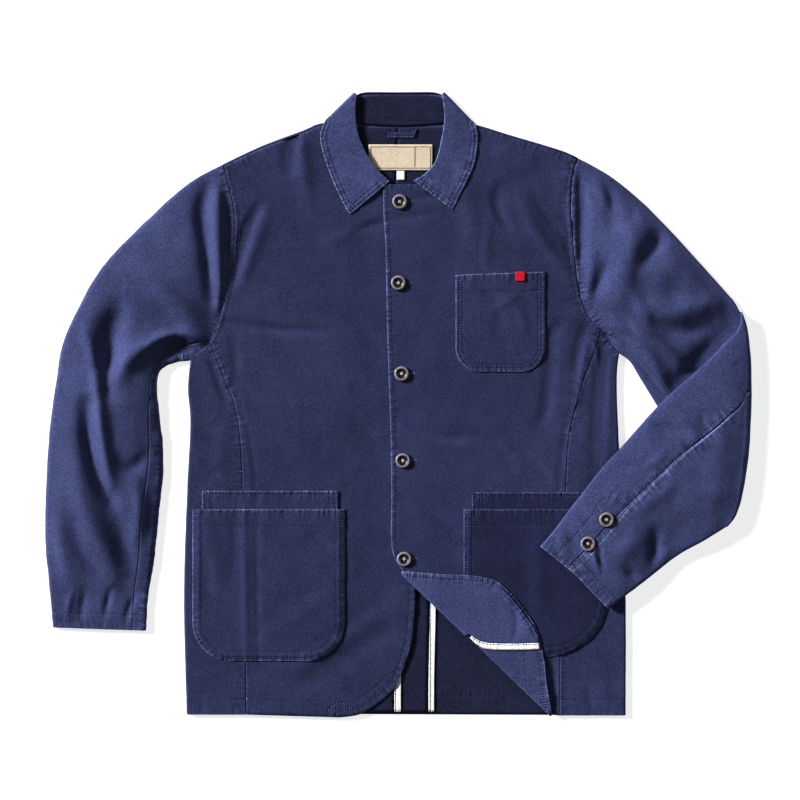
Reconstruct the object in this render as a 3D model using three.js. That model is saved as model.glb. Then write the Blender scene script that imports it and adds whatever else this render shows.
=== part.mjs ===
// Unlined work jacket in cotton twill, buttoned and laid flat on its back, the wearer's left sleeve
// folded at the elbow across the front and the left hem corner turned up.
// Millimetres: +X to the wearer's left, +Y to the collar, +Z up from the table at z = 0.
import * as THREE from 'three';

// ---- Driving sizes ----
const CLOTH = 1.1; // wall of one layer of cloth
const SEAM = 0.2; // each piece stops this short of a seam line
const LAYER = 0.35; // air between two layers that lie on each other
const ROLL = 3; // radius where a layer turns round a side edge
const TOP = 2 * ROLL; // outer height of the garment just inside a side edge
const SEAM_SHARE = 0.88; // share of the armhole, from the shoulder, where the front/side seam starts
const ARM_ROWS = 0.36; // share of a body panel's length taken by the armhole
const BUTTON = { radius: 9.5, height: 3.2 };

const finish = (color, roughness) => new THREE.MeshStandardMaterial({ color, roughness, metalness: 0 });
const TWILL = finish(0x30365a, 0.9);
const BINDING = finish(0xe9eae5, 0.85);
const LABEL = finish(0xb09e74, 0.8);
const TAB = finish(0xb3202c, 0.75);
const HORN = finish(0x3a2c26, 0.35);

const jacket = new THREE.Group();

// ---- Lines and panels in plan ----
const { lerp, smoothstep } = THREE.MathUtils;
const at = ([x, y]) => new THREE.Vector2(x, y);
const straight = (from, to) => (share) => at(from).lerp(at(to), share);

function through(points) {
  const curve = new THREE.SplineCurve(points.map(at));
  return (share) => curve.getPointAt(THREE.MathUtils.clamp(share, 0, 1));
}

// Two lines end to end, the first one taking the given share.
const joined = (first, share, second) => (t) =>
  t <= share ? first(t / share) : second((t - share) / (1 - share));

// A panel's plan between its four edges: s runs down it, v runs across it.  The shape of the start edge
// dies away sooner down the panel with a larger fade.
function panel(start, end, near, far, fade = 1) {
  return (s, v) => {
    const down = 1 - (1 - s) ** fade;
    const across = start(v).lerp(end(v), down);
    const along = near(s).lerp(far(s), v);
    const corners = start(0).lerp(start(1), v).lerp(end(0).lerp(end(1), v), down);
    return across.add(along).sub(corners);
  };
}

// Shares after `from` up to `to`, in equal steps.
const steps = (from, to, count) => Array.from({ length: count }, (_, i) => lerp(from, to, (i + 1) / count));
const raised = (point, z) => new THREE.Vector3(point.x, point.y, z);

// ---- Walls of cloth ----
// pair(row, column) gives the outside and the inside point of the cloth there; cells that are not kept are
// left out, and the wall is closed round its rim.
function cloth(name, material, rows, columns, pair, kept = () => true) {
  const wide = columns.length;
  const layer = rows.length * wide;
  const points = new Array(2 * layer);
  rows.forEach((row, i) => columns.forEach((column, j) => {
    [points[i * wide + j], points[layer + i * wide + j]] = pair(row, column);
  }));
  const faces = [];
  const rim = new Map();
  const cell = (i, j) => {
    const ring = [i * wide + j, i * wide + j + 1, (i + 1) * wide + j + 1, (i + 1) * wide + j];
    const [a, b, c, d] = ring;
    const [e, f, g, h] = ring.map((k) => k + layer);
    faces.push([a, d, b], [b, d, c], [e, f, h], [f, g, h]);
    ring.forEach((from, k) => {
      const to = ring[(k + 1) % ring.length];
      if (!rim.delete(`${to},${from}`)) rim.set(`${from},${to}`, [from, to]);
    });
  };
  for (let i = 0; i + 1 < rows.length; i += 1) {
    for (let j = 0; j + 1 < wide; j += 1) {
      if (kept(rows[i], rows[i + 1], columns[j], columns[j + 1])) cell(i, j);
    }
  }
  for (const [from, to] of rim.values()) {
    faces.push([from, to, from + layer], [to, to + layer, from + layer]);
  }
  const volume = faces.reduce((sum, [a, b, c]) => sum + points[a].dot(points[b].clone().cross(points[c])), 0);
  const turned = volume > 0 ? faces : faces.map(([a, b, c]) => [a, c, b]);
  const geometry = new THREE.BufferGeometry().setFromPoints(turned.flat().map((k) => points[k]));
  geometry.computeVertexNormals();
  const mesh = new THREE.Mesh(geometry, material);
  mesh.name = name;
  jacket.add(mesh);
}

// ---- Soft relief ----
// Folds, as bowed ridges or, where the height is negative, troughs.
// columns: x, y, middle x, middle y, end x, end y, half width, height
const FOLDS = [
  [-222, 290, -221, 230, -223, 150, 9, 3.2], // ridge along the right sleeve head
  [-238, 282, -252, 224, -240, 146, 11, -3],
  [-300, 84, -281, 72, -262, 66, 11, -4], // bunched cloth under the right arm
  [-354, 96, -366, 76, -374, 46, 14, -2.5],
  [-380, 26, -374, -30, -364, -90, 8, 3.5], // crease down the right forearm
  [-392, -8, -382, -70, -360, -114, 9, -3.5],
  [-358, -114, -348, -160, -334, -198, 10, -2],
  [-332, -100, -326, -150, -320, -196, 9, 2],
  [224, 296, 236, 258, 226, 196, 10, -3.2], // trough beside the left armhole
  [232, 306, 250, 276, 256, 244, 9, 2.8],
  [266, 274, 268, 250, 266, 226, 9, -2.8],
  [302, 84, 346, 56, 338, 10, 13, 2.4], // bulge of the left upper arm over the crook
  [366, 112, 400, 70, 426, 20, 15, -2.2],
];

function foldHeight({ x, y }) {
  return FOLDS.reduce((sum, [x0, y0, x1, y1, x2, y2, width, height]) => {
    let nearest = Infinity;
    for (let t = 0; t <= 1; t += 0.125) {
      const bowX = lerp(lerp(x0, x1, t), lerp(x1, x2, t), t);
      const bowY = lerp(lerp(y0, y1, t), lerp(y1, y2, t), t);
      nearest = Math.min(nearest, Math.hypot(x - bowX, y - bowY));
    }
    return sum + height * Math.exp(-((nearest / width) ** 2));
  }, 0);
}

// Broad swells of the body.  columns: x, y, reach x, reach y, height
const SWELLS = [
  [-135, 190, 60, 90, 3.2],
  [128, 200, 60, 80, 3],
  [-110, -20, 70, 60, 2.4],
  [90, 20, 60, 60, 1.8],
  [-30, 120, 50, 90, 1.2],
];

const bodyRise = ({ x, y }) => SWELLS.reduce((sum, [cx, cy, rx, ry, height]) =>
  sum + height * Math.exp(-(((x - cx) / rx) ** 2) - ((y - cy) / ry) ** 2), 0);

// Outer heights of the two fronts; the left one lies on the right one along the button line.
const rightTop = (p) => TOP + bodyRise(p) - 0.5 * smoothstep(p.x, -70, -30);
const leftTop = (p) => TOP + bodyRise(p) + 1.1 * (1 - smoothstep(p.x, 26, 74));

// ---- Body edges in plan ----
// columns: x, y
const NECK = { left: [68, 351.6], right: [-66, 352] };
const EDGES = {
  left: {
    shoulder: [NECK.left, [98, 350], [135, 339], [202, 319], [225, 309]],
    armhole: [[225, 309], [217, 271], [219, 208], [230, 131], [251, 95], [277, 64]],
    seam: [[233, 31], [221, -10], [213, -50], [209, -130], [204, -250], [202, -389]],
    side: [[277, 64], [274, 36], [275, -13], [280, -120], [285, -238], [285, -389]],
  },
  right: {
    shoulder: [NECK.right, [-97, 352], [-119, 343], [-170, 324], [-219, 301]],
    armhole: [[-219, 301], [-205, 240], [-207, 180], [-215, 138], [-232, 84], [-260, 55]],
    seam: [[-217, 32], [-204, -2], [-197, -50], [-194, -130], [-191, -250], [-190, -388]],
    side: [[-260, 55], [-263, 20], [-260, -25], [-264, -107], [-268, -240], [-264.5, -388]],
  },
};

const chord = (line) => line(0).distanceTo(line(1));
const body = Object.fromEntries(Object.entries(EDGES).map(([hand, rows]) => {
  const armhole = through(rows.armhole);
  const wrap = ROLL / chord(armhole);
  const flat = (share) => wrap + (1 - 2 * wrap) * share; // armhole share between the side rolls
  const seam = through([armhole(flat(SEAM_SHARE)).toArray(), ...rows.seam]);
  const outline = through(rows.shoulder);
  const down = armhole(wrap).sub(armhole(0)).normalize();
  const shoulder = (share, inset) => outline(share).addScaledVector(down, inset);
  return [hand, { armhole, flat, wrap, seam, shoulder, side: through(rows.side) }];
}));

// Shares down the armhole from the side roll, the same on every piece that is sewn to it.
const FRONT_SHARES = [0, ...steps(0, SEAM_SHARE, 8)];
const BACK_SHARES = [0, ...steps(0, 0.37, 3), ...steps(0.37, SEAM_SHARE, 4)];
const SIDE_ROWS = [...steps(0, 0.9, 9), 0.95, 1];

// The armhole and then the seam below it, as one panel edge.
const outerEdge = (hand) => (s) => {
  const { armhole, flat, seam } = body[hand];
  if (s > ARM_ROWS) return seam((s - ARM_ROWS) / (1 - ARM_ROWS));
  return armhole(flat((s / ARM_ROWS) * SEAM_SHARE));
};

const bodyRows = (armShares) => [
  ...armShares.map((share) => (share / SEAM_SHARE) * ARM_ROWS),
  ...SIDE_ROWS.map((share) => lerp(ARM_ROWS, 1, share)),
];

// ---- Back: two halves, flat on the table, turned over the shoulder edge ----
const CENTRE_BACK = { neck: [0, 347], hem: [-33, -388] };
const NECK_COLUMNS = 0.3;

// The back lies on the collar's back fall near the neck.
const backLift = ({ x, y }) =>
  1.5 * THREE.MathUtils.clamp((y - 200) / 133, 0, 1) * (1 - smoothstep(Math.abs(x), 120, 170));

function backHalf(hand) {
  const { shoulder, seam } = body[hand];
  const top = (share) => shoulder(share, ROLL);
  const neckline = through([CENTRE_BACK.neck, [NECK[hand][0] * 0.6, 347], top(0).toArray()]);
  const plan = panel(
    joined(neckline, NECK_COLUMNS, top),
    straight(CENTRE_BACK.hem, seam(1).toArray()),
    straight(CENTRE_BACK.neck, CENTRE_BACK.hem),
    outerEdge(hand),
  );
  const trimmed = (v) => lerp(0.0008, 0.9992, v);
  const rows = [...[90, 50, 10, -40].map((angle) => ({ angle })), ...bodyRows(BACK_SHARES).map((s) => ({ s }))];
  const columns = [0, NECK_COLUMNS / 2, NECK_COLUMNS, ...steps(NECK_COLUMNS, 1, 6)];
  const point = (row, v, depth) => {
    if (row.s !== undefined) {
      const p = plan(row.s, trimmed(v));
      return raised(p, backLift(p) + depth);
    }
    const angle = THREE.MathUtils.degToRad(row.angle);
    const share = Math.max(0, (trimmed(v) - NECK_COLUMNS) / (1 - NECK_COLUMNS));
    const p = shoulder(share, ROLL - (ROLL - depth) * Math.cos(angle));
    const low = backLift(top(share));
    return raised(p, (low + TOP) / 2 + ((TOP - low) / 2 - depth) * Math.sin(angle));
  };
  const onShoulder = (row, next, column) => row.s !== undefined || column >= NECK_COLUMNS;
  cloth(`back_${hand}`, TWILL, rows, columns, (row, v) => [point(row, v, 0), point(row, v, CLOTH)], onShoulder);
}
backHalf('left');
backHalf('right');

// ---- Hem vent of the back: two bound layers lying towards the wearer's left ----
// columns: name, left x, right x, bound edge width, top y, height over the table, drop at the left end
const VENT = [
  ['vent_facing', -32, 39, 7.2, -160, 1, 0],
  ['vent_underlap', -56, -5, 8.4, -150, 2, 1.4],
];
const VENT_HEM = -385;
for (const [name, left, right, edge, top, layers, drop] of VENT) {
  const low = (x) => layers * (CLOTH + LAYER) - drop * (1 - smoothstep(x, -46, -34));
  const strip = (x) => (y, depth) => new THREE.Vector3(x, y, low(x) + depth);
  const rows = [top, VENT_HEM];
  const across = drop ? [left, -46, -42, -38, -34, right] : [left, right];
  cloth(name, TWILL, rows, across, (y, x) => [strip(x)(y, 0), strip(x)(y, CLOTH)]);
  const bound = [right + LAYER, right + LAYER + edge];
  cloth(`${name}_binding`, BINDING, rows, bound, (y, x) => [strip(x)(y, 0), strip(x)(y, CLOTH)]);
}

// ---- Side panels: from the back seam round the side edge to the front seam ----
const TURN = [-90, -45, 0, 45, 90];
for (const [hand, { armhole, flat, seam, side, wrap }] of Object.entries(body)) {
  const seamShare = flat(SEAM_SHARE);
  const top = (v) => armhole(lerp(seamShare, 1, v));
  const plan = panel(top, straight(seam(1).toArray(), side(1).toArray()), seam, side);
  const rows = [0, ...SIDE_ROWS];
  const columns = [
    { under: 0 },
    ...TURN.map((angle) => ({ angle })),
    ...[2, 1, 0].map((k) => ({ over: k / 3 })),
  ];
  const point = (s, column, depth) => {
    const width = plan(s, 0).distanceTo(plan(s, 1));
    const inset = s === 0 ? wrap / (1 - seamShare) : ROLL / width;
    const radius = ROLL - depth;
    const radians = THREE.MathUtils.degToRad(column.angle ?? 0);
    const trim = SEAM / width;
    let v = 1 - inset * (1 - (radius / ROLL) * Math.cos(radians));
    let z = ROLL + radius * Math.sin(radians);
    if (column.under !== undefined) [v, z] = [trim, depth];
    const p = plan(lerp(0.0006, 1, s), column.over === undefined ? v : Math.max(column.over * (1 - inset), trim));
    if (column.over === undefined) return raised(p, z);
    return raised(p, TOP + bodyRise(p) * (1 - column.over ** 2) - depth);
  };
  cloth(`side_${hand}`, TWILL, rows, columns, (s, column) => [point(s, column, 0), point(s, column, CLOTH)]);
}

// ---- Right front: under the left one, its lower corner cut away in a curve ----
const FRONT_NECK = 0.4; // share of a front's top edge that is neckline
const frontColumns = [0, ...steps(0, FRONT_NECK, 4), ...steps(FRONT_NECK, 1, 6)];
const frontTrim = (v) => lerp(0.0008, 0.9991, v);
const frontRows = bodyRows(FRONT_SHARES);
const shoulderSeam = (hand) => (share) => body[hand].shoulder(share, ROLL + 2 * SEAM);

const rightNeck = through([[22, 275], [-13, 275.5], [-31, 281], [-46, 293], [-56, 309], [-62, 329],
  shoulderSeam('right')(0).toArray()]);
const rightHem = [-72, -391.5];
const rightFront = panel(
  joined(rightNeck, FRONT_NECK, shoulderSeam('right')),
  joined(through([[-2, -353], [-22, -372], [-46, -387], rightHem]), 0.4, straight(rightHem, [-190, -388])),
  through([[22, 275], [22, 100], [22, -100], [22, -231], [19.6, -274], [15, -306], [-2, -353]]),
  outerEdge('right'),
);
cloth('front_right', TWILL, frontRows, frontColumns, (s, v) => {
  const p = rightFront(s, frontTrim(v));
  return [raised(p, rightTop(p)), raised(p, rightTop(p) - CLOTH)];
});

// ---- Left front: on top, its lower corner turned up about a slanting fold ----
const FOLD = { start: [2.5, -211], end: [189, -391], gap: 3.5, columns: 0.9 };
const FACING = CLOTH + LAYER; // how far the facing lies outside the front it is sewn to
const foldLine = straight(FOLD.start, FOLD.end);
const foldOut = at(FOLD.end).sub(at(FOLD.start)).rotateAround(at([0, 0]), -Math.PI / 2).normalize();
const foldAxis = FOLD.gap / 2 + FACING + CLOTH; // from the fold's outline in to its axis
const axisLine = (share) => foldLine(share).addScaledVector(foldOut, -foldAxis);
const [foldStart, foldEnd] = [axisLine(0).toArray(), axisLine(1).toArray()];
const leftNeck = through([[-19, 275.5], [19, 275.5], [38, 280], [51, 291], [59.5, 307], [65, 329],
  shoulderSeam('left')(0).toArray()]);
const leftFront = panel(
  joined(leftNeck, FRONT_NECK, shoulderSeam('left')),
  joined(axisLine, FOLD.columns, straight(foldEnd, [202, -389])),
  through([[-19, 275.5], [-16, 200], [-14, 100], [-10, -30], [-8, -160], foldStart]),
  outerEdge('left'),
);

// The turned-up corner lies back on the front, its free edge curling up a little.
const flapStart = [10, -208];
const flapEnd = [191.5, -383.5];
const flapEdge = through([flapStart, [54, -212], [102, -215], [134, -229], [161, -261], [178, -296],
  [186, -350], flapEnd]);
const flap = panel(axisLine, flapEdge, straight(foldStart, flapStart), straight(foldEnd, flapEnd));
const fromFold = (p) => Math.max(0, -foldOut.dot(p.clone().sub(at(foldStart))));
const flapLow = (p) => leftTop(p) + FOLD.gap + 1.8 * (fromFold(p) / 110) ** 3;

// A layer turning about the fold: radius from the axis, angle -90 below to 90 above.
function foldTurn(share, radius, angle) {
  const radians = THREE.MathUtils.degToRad(angle);
  const p = axisLine(share);
  const z = leftTop(p) + FOLD.gap / 2 + radius * Math.sin(radians);
  return raised(p.addScaledVector(foldOut, radius * Math.cos(radians)), z);
}

{
  const rows = [
    ...frontRows.map((s) => ({ s })),
    ...[-45, 0, 45, 90].map((angle) => ({ angle })),
    ...steps(0, 1, 5).map((w) => ({ w })),
  ];
  const point = (row, v, depth) => {
    const share = Math.min(v / FOLD.columns, 1);
    if (row.angle !== undefined) return foldTurn(share, FOLD.gap / 2 + depth, row.angle);
    if (row.w !== undefined) {
      const p = flap(row.w, share);
      return raised(p, flapLow(p) + depth);
    }
    const p = leftFront(row.s, frontTrim(v));
    return raised(p, leftTop(p) - depth);
  };
  const kept = (row, next, column) => next.s !== undefined || column < FOLD.columns - 0.001;
  cloth('front_left', TWILL, rows, frontColumns, (row, v) => [point(row, v, 0), point(row, v, CLOTH)], kept);
}

// ---- Facing on the turned-up corner, turning with the fold, and its bound lower edge ----
{
  const folded = 0.44; // share of the fold that the facing turns about
  const onFold = 0.6; // share of the facing's lower edge that is the fold
  const layer = (p, depth) => raised(p, flapLow(p) + CLOTH + LAYER + depth);
  const bound = {
    upper: through([[92, -288.5], [99, -293.5], [113, -297.5], [145, -298.5], [176, -297.5]]),
    lower: through([[90, -291.5], [100, -300.5], [113, -305.5], [145, -306.5], [177, -305.5]]),
  };
  const lowEdge = (v) => (v <= onFold ? axisLine((v / onFold) * folded)
    : bound.upper((v - onFold) / (1 - onFold)).add(at([-0.2, SEAM * 3])));
  const facing = panel(lowEdge, (v) => flapEdge(v * 0.655).add(at([-0.8, -0.8])),
    straight(foldStart, flapStart), straight([175.8, -297], [174.5, -290]));
  const radius = FOLD.gap / 2 + FACING;
  const rows = [...[-35, 0, 45, 90].map((angle) => ({ angle })), ...steps(0, 1, 4).map((w) => ({ w }))];
  const columns = [0.01, ...steps(0, onFold, 4), onFold + 0.005, ...steps(onFold, 1, 6)];
  const point = (row, v, depth) => {
    const share = (Math.min(v, onFold) / onFold) * folded;
    if (row.angle < 90) return foldTurn(share, radius + depth, row.angle);
    return layer(facing(row.w ?? 0, v), depth);
  };
  const kept = (row, next, column) => next.w !== undefined || column < onFold - 0.001;
  cloth('front_left_facing', TWILL, rows, columns, (row, v) => [point(row, v, 0), point(row, v, CLOTH)], kept);
  cloth('facing_binding', BINDING, ['upper', 'lower'], [0, ...steps(0, 1, 6)], (side, share) => {
    const p = bound[side](share);
    return [layer(p, CLOTH), layer(p, 0)];
  });
}

// ---- Sleeves: flattened tubes in two pieces ----
// Columns round the tube: over the top from the front seam, round the near edge, under to the back seam,
// on under, and round the far edge to the front seam again.
const SIDE_SHARES = [SEAM_SHARE, ...steps(SEAM_SHARE, 1, 3)];
const BACK_SEAM = 0.37;
const over = (share) => ({ side: 1, share });
const under = (share) => ({ side: -1, share });
const edge = (end) => (angle) => ({ side: 0, end, angle });
const TOP_PIECE = [
  ...[...FRONT_SHARES].reverse().map(over).slice(0, -1),
  ...[...TURN].reverse().map(edge(0)),
  ...BACK_SHARES.slice(1, 4).map(under),
];
const UNDER_PIECE = [
  ...BACK_SHARES.slice(3).map(under),
  ...TURN.map(edge(1)),
  ...[...SIDE_SHARES].reverse().map(over).slice(1),
];

// Sleeve fullness along its length.  columns: share, height
const rise = (table) => (share) => {
  const next = Math.max(1, table.findIndex(([end]) => end >= share));
  const [[a, low], [b, high]] = [table[next - 1], table[next]];
  return lerp(low, high, smoothstep(share, a, b));
};

// One point of a sleeve: v across the flattened tube and h up through it, then placed by the sleeve.
function sleevePoint(arm, row, column, depth, trim) {
  const width = arm.width(row);
  const wrap = ROLL / width;
  const radius = ROLL - depth;
  if (column.side === 0) {
    const radians = THREE.MathUtils.degToRad(column.angle);
    const inset = wrap * (1 - (radius / ROLL) * Math.cos(radians));
    const v = column.end ? 1 - inset : inset;
    return arm.place(row, v, ROLL + radius * Math.sin(radians));
  }
  const v = wrap + (1 - 2 * wrap) * column.share + trim / width;
  if (column.side < 0) return arm.place(row, v, depth - arm.fall(row, v));
  return arm.place(row, v, TOP + arm.lift(row, v) - depth);
}

function sleeve(hand, arm) {
  const piece = (name, columns, trim) => cloth(`sleeve_${hand}_${name}`, TWILL, arm.rows, columns, (row, column) => {
    const seam = column === columns[0] || column === columns.at(-1);
    const shift = seam ? trim : 0;
    return [sleevePoint(arm, row, column, 0, shift), sleevePoint(arm, row, column, CLOTH, shift)];
  });
  piece('top', TOP_PIECE, -SEAM);
  piece('under', UNDER_PIECE, SEAM);
}

const crown = (v) => Math.sin(Math.PI * THREE.MathUtils.clamp(v, 0, 1)) ** 0.8;
const inner = (v) => smoothstep(Math.min(v, 1 - v), 0.02, 0.16);
const SLEEVE_TRIM = 0.0005;

// Right sleeve: straight down beside the body.
{
  const { armhole } = body.right;
  const outer = through([armhole(0).toArray(), [-263, 276], [-315, 230], [-371, 171], [-402, 117], [-421, 72],
    [-431, 10], [-438.5, -62], [-441.5, -140], [-437.5, -217], [-432, -279]]);
  const inside = through([armhole(1).toArray(), [-280, 52], [-298, 42], [-302, 20], [-298, -20], [-294, -65],
    [-297, -110], [-301, -150], [-306, -200], [-313, -240], [-316, -283]]);
  const plan = panel(armhole, straight([-432, -279], [-316, -283]), outer, (s) => inside(s ** 1.6), 3);
  const fullness = rise([[0, 0], [0.2, 7], [0.45, 6.5], [0.8, 4.5], [0.97, 0.4], [1, 0]]);
  sleeve('right', {
    rows: [0, 0.05, 0.1, 0.16, 0.22, 0.29, 0.36, 0.43, 0.5, 0.57, 0.64, 0.71, 0.78, 0.86, 0.94, 1],
    width: (s) => plan(s, 0).distanceTo(plan(s, 1)),
    place: (s, v, h) => raised(plan(lerp(SLEEVE_TRIM, 1, s), v), h),
    fall: () => 0,
    lift: (s, v) => {
      const p = plan(s, v);
      const folds = foldHeight(p) * inner(v) * smoothstep(s, 0, 0.06);
      return bodyRise(p) * (1 - smoothstep(s, 0.02, 0.15)) + fullness(s) * crown(v) + folds;
    },
  });
}

// Left sleeve: upper arm on the table, the crease at the elbow, the forearm lying back on top.
{
  const { armhole } = body.left;
  const AXIS = 8.25; // height of the elbow crease's axis
  const creaseLine = through([[424, 124], [436, 92], [441.7, 40], [440, -40], [433, -99], [424, -135], [411, -153]]);
  const creaseOut = (v) => {
    const ahead = creaseLine(v + 0.01).sub(creaseLine(v - 0.01));
    return new THREE.Vector2(-ahead.y, ahead.x).normalize();
  };
  const reach = (v) => 0.6 + 0.4 * Math.sin(Math.PI * THREE.MathUtils.clamp(v, 0, 1));
  const fromCrease = (v, distance) => creaseLine(v).addScaledVector(creaseOut(v), -reach(v) * distance);
  const creaseAxis = (v) => fromCrease(v, AXIS);
  const [elbowTop, elbowLow] = [creaseAxis(0).toArray(), creaseAxis(1).toArray()];
  const underArm = through([armhole(1).toArray(), [291, 53], [304, 32], [335, -20], [372, -90], elbowLow]);
  const upper = panel(
    armhole,
    creaseAxis,
    through([armhole(0).toArray(), [267, 285], [306, 253], [352, 206], [408, 142], elbowTop]),
    (s) => underArm(s ** 1.3),
    3,
  );
  const fore = panel(
    creaseAxis,
    through([[177.5, -177], [218, -210], [239, -231], [262, -255]]),
    through([elbowTop, [406, 75], [370, 39.5], [324, -2], [258, -75], [194, -157], [177.5, -177]]),
    through([elbowLow, [380, -171], [352, -187], [307, -221], [262, -255]]),
  );
  const upperFull = rise([[0, 0], [0.2, 6], [0.5, 3.6], [0.8, 1.6], [1, 1]]);
  const foreFull = rise([[0, 0], [0.2, 4], [0.5, 5], [0.8, 3], [1, 0]]);
  // The forearm sinks between the body's edge and the upper arm, where only the table is beneath it.
  const SAG = { x: 335, y: -185, reachX: 38, reachY: 45, depth: 5.5 };
  const sag = ({ x, y }) =>
    SAG.depth * Math.exp(-(((x - SAG.x) / SAG.reachX) ** 2) - ((y - SAG.y) / SAG.reachY) ** 2);
  const edgeSpan = {
    upper: (row) => upper(row.s, 0).distanceTo(upper(row.s, 1)),
    turn: () => chord(creaseLine),
    fore: (row) => fore(row.s, 0).distanceTo(fore(row.s, 1)),
  };
  const place = {
    upper: (row, v, h) => raised(upper(lerp(SLEEVE_TRIM, 1, row.s), v), h),
    turn: (row, v, h) => {
      const radius = AXIS - h;
      const radians = THREE.MathUtils.degToRad(row.angle);
      return raised(fromCrease(v, AXIS - radius * Math.cos(radians)), AXIS + radius * Math.sin(radians));
    },
    fore: (row, v, h) => {
      const p = fore(row.s, v);
      return raised(p, 2 * AXIS - h - sag(p));
    },
  };
  const lift = {
    upper: (row, v) => {
      const p = upper(row.s, v);
      const folds = foldHeight(p) * inner(v) * smoothstep(row.s, 0, 0.06) * (1 - smoothstep(row.s, 0.8, 1));
      return bodyRise(p) * (1 - smoothstep(row.s, 0.02, 0.15)) + upperFull(row.s) * crown(v) + folds;
    },
    turn: (row, v) => crown(v),
    fore: (row, v) => crown(v) * (1 - smoothstep(row.s, 0, 0.3)),
  };
  sleeve('left', {
    rows: [
      ...[0, 0.07, 0.14, 0.23, 0.33, 0.45, 0.58, 0.7, 0.82, 0.92, 1].map((s) => ({ part: 'upper', s })),
      ...[-60, -20, 20, 60].map((angle) => ({ part: 'turn', angle })),
      ...[0, 0.07, 0.15, 0.25, 0.36, 0.48, 0.6, 0.72, 0.84, 0.94, 1].map((s) => ({ part: 'fore', s })),
    ],
    width: (row) => edgeSpan[row.part](row),
    place: (row, v, h) => place[row.part](row, v, h),
    fall: (row, v) => (row.part === 'fore' ? foreFull(row.s) * crown(v) : 0),
    lift: (row, v) => lift[row.part](row, v),
  });
}

// ---- Collar: a fall rolled over a stand, both turned over the shoulders to lie flat at the back ----
// A band that runs up one front, turns over about a crease, crosses the back and comes down the other
// front.  w runs across it from the roll; low is its height at the back and face(p, w) its height in front.
function neckBand({ ends, back, low, face }) {
  const sides = Object.fromEntries(Object.entries(ends).map(([hand, { roll, outer }]) => {
    const crease = straight(roll.at(-1), outer.at(-1));
    const sign = hand === 'right' ? -1 : 1;
    const out = crease(1).sub(crease(0)).rotateAround(at([0, 0]), sign * Math.PI / 2).normalize();
    const half = (w) => (face(crease(w), w) - low) / 2;
    const axis = (w) => crease(w).addScaledVector(out, -half(w));
    const near = through([...roll.slice(0, -1), axis(0).toArray()]);
    const far = through([...outer.slice(0, -1), axis(1).toArray()]);
    return [hand, { crease, out, half, axis, plan: panel(straight(roll[0], outer[0]), axis, near, far) }];
  }));
  const { left, right } = sides;
  const across = (w, points) => through([right.axis(w).toArray(), ...points, left.axis(w).toArray()]);
  const behind = panel(right.axis, left.axis, across(0, back.roll), across(1, back.outer));
  const shares = [0, ...steps(0, 1, 6)];
  const turn = [60, 20, -20, -60];
  const rows = [
    ...shares.map((s) => ({ side: right, s })),
    ...turn.map((angle) => ({ side: right, angle })),
    ...shares.map((s) => ({ s })),
    ...[...turn].reverse().map((angle) => ({ side: left, angle })),
    ...[...shares].reverse().map((s) => ({ side: left, s })),
  ];
  const place = (row, w, depth) => {
    if (row.angle !== undefined) {
      const { crease, out, half } = row.side;
      const radius = half(w) - depth;
      const radians = THREE.MathUtils.degToRad(row.angle);
      const p = crease(w).addScaledVector(out, radius * Math.cos(radians) - half(w));
      return raised(p, low + half(w) + radius * Math.sin(radians));
    }
    if (!row.side) return raised(behind(row.s, w), low + depth);
    const p = row.side.plan(row.s, w);
    return raised(p, face(p, w) - depth);
  };
  return { rows, place };
}

const collarGround = (p) => (p.x > -19 ? leftTop(p) : rightTop(p));
{
  const COLLAR = { low: 7.7, curl: 1.3, leaf: 55, behind: 52 };
  const { rows, place } = neckBand({
    ends: {
      right: {
        roll: [[-10, 279], [-26, 294], [-40, 315], [-50, 340], [-53, 365], [-55, 391]],
        outer: [[-59, 238], [-80, 276], [-92, 306], [-97, 335], [-91, 356]],
      },
      left: {
        roll: [[19, 280], [34, 289], [47, 305], [54, 332], [58, 360], [58, 391.5]],
        outer: [[69, 243], [86, 279], [96, 303], [100, 335], [97, 351]],
      },
    },
    back: {
      roll: [[-40, 391.4], [0, 391.5], [42, 391.5]],
      outer: [[-62, 340], [-30, 336], [34, 336], [68, 340]],
    },
    low: 0,
    face: (p, w) => lerp(COLLAR.low, collarGround(p) + LAYER, smoothstep(w, 0.1, 0.95)) + CLOTH,
  });
  const columns = [...[-90, -20, 40].map((angle) => ({ angle })), ...[0, ...steps(0, 1, 4)].map((w) => ({ w }))];
  const point = (row, column, inward) => {
    const start = COLLAR.curl / (row.side ? COLLAR.leaf : COLLAR.behind);
    if (column.w !== undefined) return place(row, lerp(start, 1, column.w), inward);
    const radius = COLLAR.curl - inward;
    const radians = THREE.MathUtils.degToRad(column.angle);
    const w = start * (1 - (radius / COLLAR.curl) * Math.cos(radians));
    return place(row, w, COLLAR.curl - radius * Math.sin(radians));
  };
  cloth('collar_fall', TWILL, rows, columns, (row, column) => [point(row, column, 0), point(row, column, CLOTH)]);
}

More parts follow.
